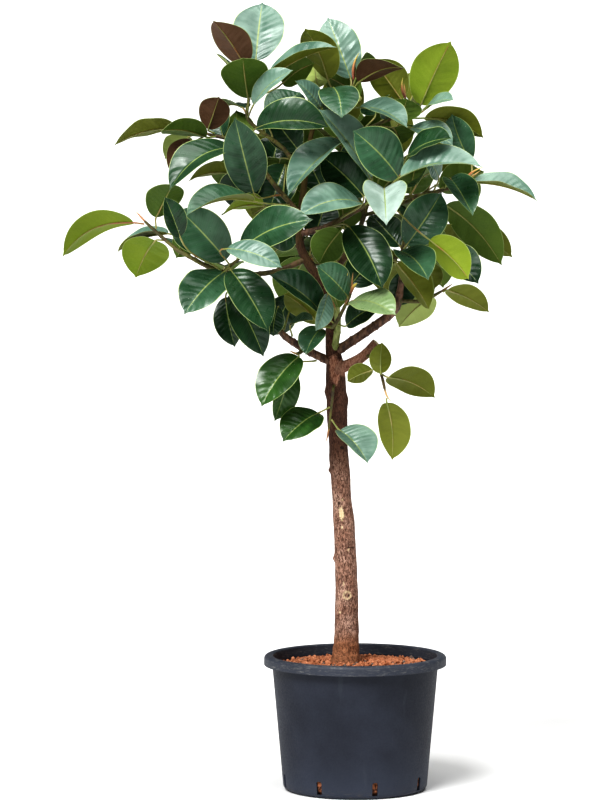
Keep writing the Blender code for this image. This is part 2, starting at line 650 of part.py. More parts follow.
def place_leaf(stem, base, tip, form, obstacles):
    """The leaf's path, base, tip and form, swung in depth until it is clear of all that came before."""
    path = trunk_path() if stem == "leader" else stem_path(stem)
    for base_shift, tip_shift in swings():
        base_now = from_fork(base) + Vector((0, base_shift, 0))
        tip_now = from_fork(tip) + Vector((0, tip_shift, 0))
        shape = (path, base_now, tip_now, *form)
        tree = tree_of(leaf_rings(*shape, swell=CLEARANCE * 2))
        if not any(tree.overlap(other) for other in obstacles):
            break
    obstacles.append(tree)
    return shape


def build_leaves(look, obstacles, rear_branch):
    """Every leaf in its own object, and the rear ones joined to their branch."""
    for name, stem, base, tip, *form in LEAVES:
        shape = place_leaf(stem, base, tip, form, obstacles)
        add_object("leaf_" + name, *loft(leaf_rings(*shape)), look, 60)
    for name, stem, base, tip, *form in REAR_LEAVES:
        shape = place_leaf(stem, base, tip, form, obstacles)
        rear = add_object("leaf_" + name, *loft(leaf_rings(*shape, joined=True)), look, 60)
        boolean(rear_branch, "UNION", as_helper(rear))


def main():
    clear_scene()
    anthracite = material("pot_plastic", (0.035, 0.042, 0.055), 0.6)
    clay = material("clay_granules", (0.36, 0.16, 0.09), 0.9)
    bark = material("bark", (0.16, 0.10, 0.065), 0.85)
    young = material("young_stem", (0.20, 0.21, 0.07), 0.6)
    leaf = material("leaf", (0.03, 0.10, 0.055), 0.3)

    build_pot(anthracite)
    build_trunk("trunk", bark)
    trunk_cutter = as_helper(build_trunk("trunk_cutter", bark, CLEARANCE))
    build_substrate(clay, trunk_cutter)
    obstacles = [tree_of(tube_rings(trunk_path(), TRUNK_SIDES))]
    obstacles += [tree_of(tube_rings(stem_path(stem), BRANCH_SIDES)) for stem in STEMS]
    branches = {name: build_branch(name, stems, young, trunk_cutter) for name, stems in BRANCHES.items()}
    build_leaves(leaf, obstacles, branches["branch_back"])


main()
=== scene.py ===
"""Looks of the potted rubber plant: leaves with veins and drip tips, bark, young stems and buds, clay
granules and a moulded pot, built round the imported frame. Metres, +Z up, the front is -Y. The leaf
tables are in millimetres.
"""

import math
import random

import bmesh
import bpy
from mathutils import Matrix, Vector, kdtree, noise
from mathutils.bvhtree import BVHTree


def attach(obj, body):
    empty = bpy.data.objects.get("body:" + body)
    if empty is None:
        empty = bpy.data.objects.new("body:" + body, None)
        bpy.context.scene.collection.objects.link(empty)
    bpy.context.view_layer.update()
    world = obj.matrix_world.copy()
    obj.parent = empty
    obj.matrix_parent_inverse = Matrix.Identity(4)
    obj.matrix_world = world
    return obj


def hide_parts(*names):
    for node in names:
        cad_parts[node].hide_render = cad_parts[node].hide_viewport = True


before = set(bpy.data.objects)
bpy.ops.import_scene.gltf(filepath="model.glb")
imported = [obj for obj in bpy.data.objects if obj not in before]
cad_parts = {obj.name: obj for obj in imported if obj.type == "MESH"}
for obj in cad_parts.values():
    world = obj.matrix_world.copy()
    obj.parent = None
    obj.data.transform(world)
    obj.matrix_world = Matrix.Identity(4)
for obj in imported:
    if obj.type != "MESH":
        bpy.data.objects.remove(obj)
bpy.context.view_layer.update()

# Sizes shared with the CAD model
POT_HEIGHT = 0.305
RIM_OVERHANG = 0.0185
RIM_HEIGHT = 0.022
RIM_ROLL = 0.42
SHOULDER_RADIUS = 0.188
BASE_RADIUS = 0.1635
BASE_CORNER = 0.012
POT_WALL = 0.0035
SLOT_COUNT = 8
SLOT_WIDTH = 0.0125
SLOT_HEIGHT = 0.030
SLOT_BOTTOM = 0.008
SLOT_TURN = math.radians(15)
SURFACE_DROP = 0.0155
EDGE_DROP = 0.026
CROWN_DROP = 0.001
SOCKET_DEPTH = 0.055
FORK_HEIGHT = 0.7065
TRUNK_SIDES = 12
BRANCH_SIDES = 8
PATH_STEP = 0.028
LEAF_HALF_THICKNESS = 0.0007
PETIOLE_RADIUS = 0.0021
PETIOLE_LEAST = 0.012
CLEARANCE = 0.0003
SWING_STEP = 0.012
SWINGS = 12
RIM_RADIUS = SHOULDER_RADIUS + RIM_OVERHANG
SURFACE_Z = POT_HEIGHT - SURFACE_DROP
FORK_X = -0.0443

# Fineness of the meshes
POT_SEGMENTS = 192
TRUNK_VOXEL = 0.0020
STEM_VOXEL = 0.0011
TRUNK_STEP = 0.006
STUB_STEP = 0.004
STEM_STEP = 0.003
FINE_TRUNK_SIDES = 40
FINE_STUB_SIDES = 24
FINE_STEM_SIDES = 14
BLADE_STATIONS = 36
BLADE_ACROSS = 14
PETIOLE_STEPS = 7
MIDRIB_STEPS = 18
MIDRIB_SIDES = 8
SHEATH_SIDES = 12
SHEATH_STEPS = 12

# Blades: thickness, outline, and the ranges from which each leaf draws its waves and curves
BLADE_THICKNESS = 0.0005
DRIP_START = 0.965
DRIP_WIDTH = 0.075
OVAL_BASE = 0.47
OVAL_TIP = 0.22
LEAST_SHARE = 0.004
LEAF_BROADER = 1.03
TWIST = 9
CUP = (0.02, 0.06)
WAVE_HEIGHT = (0.010, 0.028)
WAVES = (1.2, 2.4)
SWEEP = 0.035
RIPPLES = (2.6, 5.2)
RIPPLE_HEIGHT = (0.0006, 0.0016)
VEIN_COUNT = 30
VEIN_SLANT = 0.16
VEIN_WANDER = 0.02
MIDRIB_END = 0.97
MIDRIB_LEAST = 0.0004
PALE_VEIN = (0.20, 0.32, 0.20)
PALE_MARGIN = (0.42, 0.50, 0.20)
PALE_SPOT = (0.55, 0.62, 0.50)
MIDRIB_COLOUR = (0.27, 0.33, 0.11)
UNDER_RIB_COLOUR = (0.36, 0.17, 0.05)

# Stems: buds at their ends, swollen rings, and the radii between which green skin turns to bark
BUD_LENGTH = 0.034
BUD_RADIUS = 0.0030
BUD_LEAST = 0.0009
RING_GAP = (0.014, 0.034)
RING_SWELLING = 0.16
YOUNG_RADII = (0.0052, 0.0078)
SHEATH_LEAST = 0.0004
SHEATH_BEND = 0.10

# Granules, with the share and colour of the grey ones, and the pot's small round corners
GRANULES = 1600
GRANULE_SIZE = (0.0030, 0.0058)
GRANULE_LIFT = (-0.0035, 0.0020)
GREY_SHARE = 0.07
GREY_CLAY = (0.16, 0.145, 0.13)
TRUNK_ROOM = 0.034
BED_DROP = 0.004
SLOT_CORNER = 0.004
LIP_ROUND = 0.0012

# Camera, soft lights and floor
CAMERA_PLACE = Vector((-0.125, -9.0, 1.525))
CAMERA_TARGET = Vector((-0.125, 0.0, 0.8835))
LENS = 180
SENSOR = 36
HORIZON_LIGHT = 1.0
SKY_LIGHT = 0.12
SKY_BAND = (0.10, 0.20)
CONTRAST = "High Contrast"
# Soft lights far away: name, direction towards the light, angle across in degrees, strength.
SUNS = (
    ("key", (-0.45, -0.80, 0.95), 26.0, 2.9),
    ("top", (0.10, -0.15, 1.00), 50.0, 2.0),
)
FLOOR_RADIUS = 60.0
FLOOR_DROP = 0.0005

# Height above the substrate as a share of the fork's height, sideways place, radius. A height below
# the substrate is a share of the socket's depth.
TRUNK_STATIONS = (
    (-1.0, -0.0205, 0.026),
    (-0.27, -0.0205, 0.033),
    (0.0, -0.0205, 0.0355),
    (0.028, -0.021, 0.0308),
    (0.076, -0.0196, 0.028),
    (0.172, -0.0196, 0.0268),
    (0.268, -0.020, 0.0252),
    (0.363, -0.0224, 0.0242),
    (0.459, -0.0263, 0.0236),
    (0.522, -0.0302, 0.0219),
    (0.586, -0.0331, 0.0225),
    (0.650, -0.0370, 0.0222),
    (0.713, -0.0387, 0.0214),
    (0.793, -0.0414, 0.0236),
    (0.850, -0.0428, 0.0222),
    (0.904, -0.0443, 0.0222),
    (0.960, -0.0465, 0.0195),
)

# Stems as points (x, y, height, radius) measured from the fork. The leader goes on from the trunk.
STEMS = {
    "leader": (
        (-0.010, 0.000, 0.018, 0.0140),
        (-0.012, 0.000, 0.080, 0.0125),
        (-0.031, 0.000, 0.146, 0.0115),
        (-0.063, 0.000, 0.198, 0.0105),
        (-0.081, 0.000, 0.241, 0.0095),
        (-0.079, 0.000, 0.304, 0.0082),
        (-0.070, 0.010, 0.383, 0.0070),
        (-0.061, 0.010, 0.450, 0.0060),
        (-0.050, 0.010, 0.500, 0.0052),
        (-0.013, 0.010, 0.540, 0.0045),
        (0.030, 0.010, 0.574, 0.0040),
        (0.040, 0.010, 0.607, 0.0034),
        (0.045, 0.010, 0.645, 0.0010),
    ),
    "pruned_stub": (
        (0.000, 0.000, -0.045, 0.0135),
        (0.054, -0.020, -0.018, 0.0118),
        (0.092, -0.030, 0.018, 0.0115),
    ),
    "green_stub": (
        (-0.006, -0.004, -0.010, 0.0090),
        (0.004, -0.016, 0.050, 0.0075),
        (0.002, -0.018, 0.098, 0.0070),
    ),
    "top_left": (
        (-0.070, 0.010, 0.383, 0.0060),
        (-0.115, 0.005, 0.450, 0.0052),
        (-0.166, 0.000, 0.490, 0.0045),
        (-0.198, -0.005, 0.522, 0.0040),
        (-0.196, -0.005, 0.562, 0.0035),
        (-0.193, -0.005, 0.602, 0.0010),
    ),
    "top_right": (
        (-0.060, 0.010, 0.455, 0.0050),
        (0.009, 0.015, 0.477, 0.0045),
        (0.088, 0.020, 0.506, 0.0040),
        (0.151, 0.020, 0.535, 0.0036),
        (0.156, 0.020, 0.567, 0.0030),
        (0.153, 0.020, 0.600, 0.0010),
    ),
    "left": (
        (-0.079, 0.000, 0.304, 0.0065),
        (-0.137, -0.010, 0.371, 0.0056),
        (-0.189, -0.020, 0.439, 0.0050),
        (-0.234, -0.020, 0.472, 0.0045),
        (-0.286, -0.020, 0.486, 0.0036),
        (-0.318, -0.020, 0.502, 0.0010),
    ),
    "far_left": (
        (-0.066, 0.000, 0.205, 0.0068),
        (-0.149, -0.030, 0.176, 0.0060),
        (-0.252, -0.060, 0.178, 0.0055),
        (-0.338, -0.050, 0.218, 0.0048),
        (-0.364, -0.040, 0.234, 0.0043),
        (-0.421, -0.030, 0.284, 0.0035),
        (-0.450, -0.030, 0.315, 0.0010),
    ),
    "front_left": (
        (-0.252, -0.060, 0.178, 0.0042),
        (-0.222, -0.100, 0.205, 0.0035),
        (-0.186, -0.125, 0.232, 0.0010),
    ),
    "right_upper": (
        (-0.081, 0.000, 0.262, 0.0078),
        (-0.025, -0.020, 0.277, 0.0070),
        (0.032, -0.040, 0.308, 0.0060),
        (0.083, -0.050, 0.338, 0.0055),
        (0.122, -0.050, 0.369, 0.0045),
        (0.140, -0.050, 0.394, 0.0034),
        (0.150, -0.050, 0.420, 0.0010),
    ),
    "far_right": (
        (0.083, -0.050, 0.338, 0.0048),
        (0.166, -0.020, 0.346, 0.0044),
        (0.241, 0.000, 0.360, 0.0040),
        (0.286, 0.000, 0.378, 0.0035),
        (0.326, 0.000, 0.405, 0.0010),
    ),
    "right_lower": (
        (-0.004, 0.000, -0.006, 0.0110),
        (0.072, -0.012, 0.045, 0.0105),
        (0.130, -0.020, 0.090, 0.0098),
        (0.144, -0.022, 0.135, 0.0080),
        (0.149, -0.030, 0.191, 0.0055),
        (0.149, -0.040, 0.227, 0.0045),
        (0.153, -0.045, 0.257, 0.0032),
        (0.158, -0.045, 0.283, 0.0010),
    ),
    "right_side": (
        (0.139, -0.020, 0.113, 0.0048),
        (0.189, -0.030, 0.112, 0.0044),
        (0.225, -0.040, 0.128, 0.0038),
        (0.263, -0.050, 0.153, 0.0010),
    ),
    "centre": (
        (-0.011, 0.000, 0.050, 0.0050),
        (-0.002, -0.050, 0.061, 0.0045),
        (0.018, -0.090, 0.101, 0.0040),
        (0.032, -0.110, 0.135, 0.0034),
        (0.037, -0.120, 0.180, 0.0010),
    ),
    "low_left": (
        (-0.004, 0.000, -0.030, 0.0098),
        (-0.070, -0.020, 0.004, 0.0092),
        (-0.119, -0.040, 0.038, 0.0075),
        (-0.137, -0.050, 0.072, 0.0040),
        (-0.149, -0.055, 0.105, 0.0010),
    ),
    "low_front": (
        (-0.070, -0.020, 0.004, 0.0045),
        (-0.086, -0.060, -0.004, 0.0038),
        (-0.104, -0.092, 0.004, 0.0010),
    ),
    "low_right": (
        (0.064, -0.022, -0.009, 0.0045),
        (0.084, -0.048, -0.016, 0.0040),
        (0.101, -0.060, -0.050, 0.0035),
        (0.112, -0.065, -0.094, 0.0030),
        (0.124, -0.070, -0.112, 0.0010),
    ),
    "sprout": (
        (-0.003, 0.000, -0.074, 0.0032),
        (-0.006, -0.034, -0.086, 0.0032),
        (-0.010, -0.038, -0.124, 0.0029),
        (-0.016, -0.037, -0.175, 0.0024),
        (-0.022, -0.038, -0.205, 0.0010),
    ),
    "back": (
        (-0.031, 0.000, 0.146, 0.0078),
        (0.030, 0.080, 0.220, 0.0066),
        (0.066, 0.150, 0.300, 0.0055),
        (0.078, 0.200, 0.375, 0.0042),
        (0.080, 0.222, 0.430, 0.0010),
    ),
    "back_left": (
        (0.030, 0.080, 0.220, 0.0052),
        (-0.050, 0.165, 0.265, 0.0045),
        (-0.118, 0.220, 0.322, 0.0036),
        (-0.142, 0.240, 0.360, 0.0010),
    ),
    "back_right": (
        (0.066, 0.150, 0.300, 0.0046),
        (0.140, 0.170, 0.322, 0.0042),
        (0.205, 0.180, 0.352, 0.0034),
        (0.225, 0.185, 0.388, 0.0010),
    ),
    "back_top": (
        (0.066, 0.150, 0.300, 0.0044),
        (0.036, 0.130, 0.372, 0.0040),
        (0.014, 0.125, 0.440, 0.0034),
        (0.010, 0.130, 0.490, 0.0010),
    ),
    "back_low": (
        (0.030, 0.080, 0.220, 0.0046),
        (-0.016, 0.122, 0.196, 0.0040),
        (-0.046, 0.170, 0.186, 0.0034),
        (-0.058, 0.200, 0.214, 0.0010),
    ),
    "back_side": (
        (0.030, 0.080, 0.220, 0.0046),
        (0.092, 0.092, 0.200, 0.0040),
        (0.150, 0.112, 0.208, 0.0034),
        (0.184, 0.122, 0.236, 0.0010),
    ),
}

# Each branch is one grown piece of one or more stems.
BRANCHES = {
    "branch_top_left": ("top_left",),
    "branch_top_right": ("top_right",),
    "branch_left": ("left",),
    "branch_far_left": ("far_left", "front_left"),
    "branch_right_upper": ("right_upper", "far_right"),
    "branch_right_lower": ("right_lower", "right_side"),
    "branch_low_left": ("low_left", "low_front"),
    "branch_back": ("back", "back_left", "back_right", "back_top", "back_low", "back_side"),
    "shoot_centre": ("centre",),
    "shoot_low_right": ("low_right",),
    "sprout_trunk": ("sprout",),
}

# Leaves, in millimetres from the fork: name, stem, blade base and tip, width, turn and tilt of the
# upper side in degrees (turn 0 faces the front, 90 the right; tilt 90 faces up), fold in degrees,
# arch as a share of the length, and the keys of its upper and lower colour. These are CAD nodes.
LEAVES = (
    ("top_left_1", "top_left", (-180, 0, 652), (-166, 90, 783), 116, 0, 35, 8, 0.06, "pg"),
    ("top_left_2", "top_left", (-204, -10, 640), (-274, -60, 738), 94, 150, 22, 12, 0.06, "dr"),
    ("top_left_3", "top_left", (-197, -20, 566), (-207, -120, 655), 106, 180, 46, 12, 0.05, "mg"),
    ("top_left_4", "top_left", (-153, -20, 608), (2, -30, 680), 92, 0, 80, 30, 0.07, "po"),
    ("top_left_5", "top_left", (-176, -110, 500), (-18, -140, 502), 105, 0, 42, 30, 0.14, "dg"),
    ("top_1", "leader", (-18, 0, 610), (-70, -60, 722), 90, 150, 25, 14, 0.05, "do"),
    ("top_2", "leader", (33, 25, 612), (-18, 80, 749), 95, 0, 32, 12, 0.05, "pg"),
    ("top_3", "leader", (52, -10, 603), (148, -105, 632), 90, 180, 60, 14, 0.1, "dr"),
    ("top_4", "leader", (-6, -20, 590), (11, -145, 522), 90, 0, 55, 10, 0.08, "mg"),
    ("top_right_1", "top_right", (150, 20, 562), (82, 20, 655), 94, 165, 25, 14, 0.05, "do"),
    ("top_right_2", "top_right", (191, 0, 552), (256, -35, 693), 106, 185, 15, 10, 0.05, "mb"),
    ("top_right_3", "top_right", (200, 20, 522), (333, 30, 477), 90, 180, 58, 16, 0.12, "do"),
    ("left_1", "left", (-232, -70, 455), (-369, -160, 362), 100, -20, 48, 18, 0.16, "do"),
    ("left_2", "left", (-184, -80, 356), (-225, -120, 524), 96, 10, 5, 12, 0.04, "mg"),
    ("left_3", "left", (-358, -20, 499), (-497, -50, 460), 86, 180, 62, 14, 0.1, "do"),
    ("left_4", "left", (-115, 35, 416), (-150, -5, 312), 96, 0, 34, 14, 0.06, "dg"),
    ("far_left_1", "far_left", (-454, -30, 288), (-612, -50, 212), 98, 180, 58, 14, 0.2, "db"),
    ("far_left_2", "far_left", (-406, -10, 247), (-454, 80, 160), 106, 180, 30, 10, 0.08, "db"),
    ("far_left_3", "far_left", (-403, -35, 300), (-362, -120, 376), 84, 195, 35, 14, 0.06, "dg"),
    ("front_left_1", "front_left", (-250, -95, 180), (-336, -186, 90), 106, -15, 40, 12, 0.08, "mg"),
    ("front_left_2", "front_left", (-234, -105, 184), (-151, -175, 52), 100, 15, 32, 14, 0.08, "dg"),
    ("front_left_3", "front_left", (-214, -145, 226), (-52, -235, 300), 104, 0, 36, 12, 0.1, "mg"),
    ("front_left_4", "far_left", (-246, -80, 207), (-352, -75, 320), 104, -15, 20, 14, 0.05, "mg"),
    ("front_left_5", "far_left", (-234, -60, 130), (-162, -100, -9), 82, 5, 22, 14, 0.06, "dg"),
    ("right_upper_1", "right_upper", (76, -60, 388), (-40, -75, 542), 104, 25, 44, 30, 0.06, "pg"),
    ("right_upper_2", "right_upper", (137, -85, 392), (36, -130, 495), 110, 5, 28, 12, 0.06, "mg"),
    ("right_upper_3", "right_upper", (143, -90, 392), (322, -130, 414), 100, 0, 58, 26, 0.12, "pb"),
    ("right_upper_4", "right_upper", (52, -110, 335), (-83, -210, 308), 94, 0, 46, 18, 0.12, "pg"),
    ("right_upper_5", "right_upper", (106, -110, 366), (108, -255, 288), 118, 0, 70, 36, 0.08, "wg"),
    ("right_upper_6", "right_upper", (29, -105, 280), (101, -180, 146), 102, 10, 28, 12, 0.07, "dg"),
    ("far_right_1", "far_right", (306, -5, 378), (452, -10, 336), 82, 10, 70, 30, 0.08, "po"),
    ("far_right_2", "far_right", (248, 15, 326), (376, 50, 189), 92, 180, 32, 14, 0.1, "dg"),
    ("far_right_3", "far_right", (268, 45, 266), (403, 70, 205), 84, 180, 52, 14, 0.1, "do"),
    ("right_lower_1", "right_lower", (158, -60, 240), (236, -35, 356), 98, 15, 20, 14, 0.05, "mg"),
    ("right_lower_2", "right_lower", (220, -30, 226), (317, -90, 153), 98, 20, 38, 14, 0.1, "dg"),
    ("right_lower_3", "right_lower", (144, -75, 225), (202, -200, 166), 92, 10, 48, 24, 0.08, "mg"),
    ("right_side_1", "right_side", (245, -45, 136), (345, 0, 86), 68, 180, 48, 12, 0.1, "do"),
    ("centre_1", "centre", (36, -120, 117), (130, -210, 90), 88, 10, 46, 12, 0.1, "yg"),
    ("centre_2", "centre", (-32, -85, 88), (-149, -145, 176), 92, -10, 44, 30, 0.08, "mp"),
    ("low_left_1", "low_front", (-84, -85, -10), (-166, -150, -117), 92, -10, 38, 14, 0.08, "sg"),
    ("low_left_2", "low_left", (-100, -35, -36), (-138, -65, -156), 72, 45, 20, 18, 0.06, "sg"),
    ("sprout_1", "sprout", (-40, -55, -138), (-119, -135, -196), 88, -10, 38, 12, 0.08, "so"),
    ("sprout_2", "sprout", (9, -55, -177), (70, -110, -246), 104, 35, 25, 26, 0.08, "pg"),
    ("low_right_1", "low_right", (117, -70, -56), (223, -10, -106), 88, 180, 44, 12, 0.1, "do"),
    ("low_right_2", "low_right", (113, -72, -106), (126, -45, -245), 82, 158, 10, 20, 0.06, "do"),
    ("back_1", "back", (80, 235, 400), (60, 370, 330), 102, 180, 42, 12, 0.1, "dg"),
)

# The rear branch's other leaves, which are grown in one piece with it in the CAD model.
REAR_LEAVES = (
    ("rear_2", "back", (62, 200, 440), (-20, 240, 560), 100, 180, 12, 12, 0.05, "dg"),
    ("rear_3", "back", (98, 215, 435), (170, 250, 545), 98, 170, 14, 12, 0.05, "do"),
    ("rear_4", "back", (96, 175, 300), (165, 285, 215), 98, 160, 40, 12, 0.08, "dg"),
    ("rear_5", "back_left", (-135, 262, 350), (-190, 365, 280), 100, 200, 40, 14, 0.1, "do"),
    ("rear_6", "back_left", (-160, 225, 360), (-290, 200, 405), 98, 190, 40, 14, 0.08, "dg"),
    ("rear_7", "back_left", (-120, 205, 362), (-165, 170, 500), 96, 190, 8, 12, 0.05, "do"),
    ("rear_8", "back_left", (-66, 185, 250), (-100, 285, 160), 98, 190, 42, 12, 0.08, "dg"),
    ("rear_9", "back_left", (-95, 245, 330), (-20, 350, 350), 96, 180, 60, 14, 0.1, "do"),
    ("rear_10", "back_right", (238, 205, 370), (330, 295, 325), 96, 160, 46, 14, 0.1, "dg"),
    ("rear_11", "back_right", (222, 175, 402), (290, 150, 515), 92, 165, 12, 12, 0.05, "do"),
    ("rear_12", "back_right", (190, 205, 330), (200, 325, 260), 96, 175, 40, 12, 0.08, "dg"),
    ("rear_13", "back_top", (-10, 150, 480), (-90, 230, 450), 100, 190, 44, 14, 0.1, "do"),
    ("rear_14", "back_top", (40, 140, 488), (130, 190, 490), 100, 170, 52, 14, 0.1, "dg"),
    ("rear_15", "back_top", (15, 160, 500), (10, 150, 640), 98, 180, 6, 12, 0.05, "do"),
    ("rear_16", "back_low", (-70, 215, 200), (-120, 300, 90), 98, 195, 34, 12, 0.08, "dg"),
    ("rear_17", "back_low", (-40, 220, 215), (40, 300, 160), 96, 175, 42, 12, 0.08, "do"),
    ("rear_18", "back_side", (190, 140, 220), (250, 230, 130), 96, 160, 38, 12, 0.08, "dg"),
    ("rear_19", "back_side", (200, 110, 235), (310, 100, 240), 94, 130, 46, 14, 0.1, "do"),
)

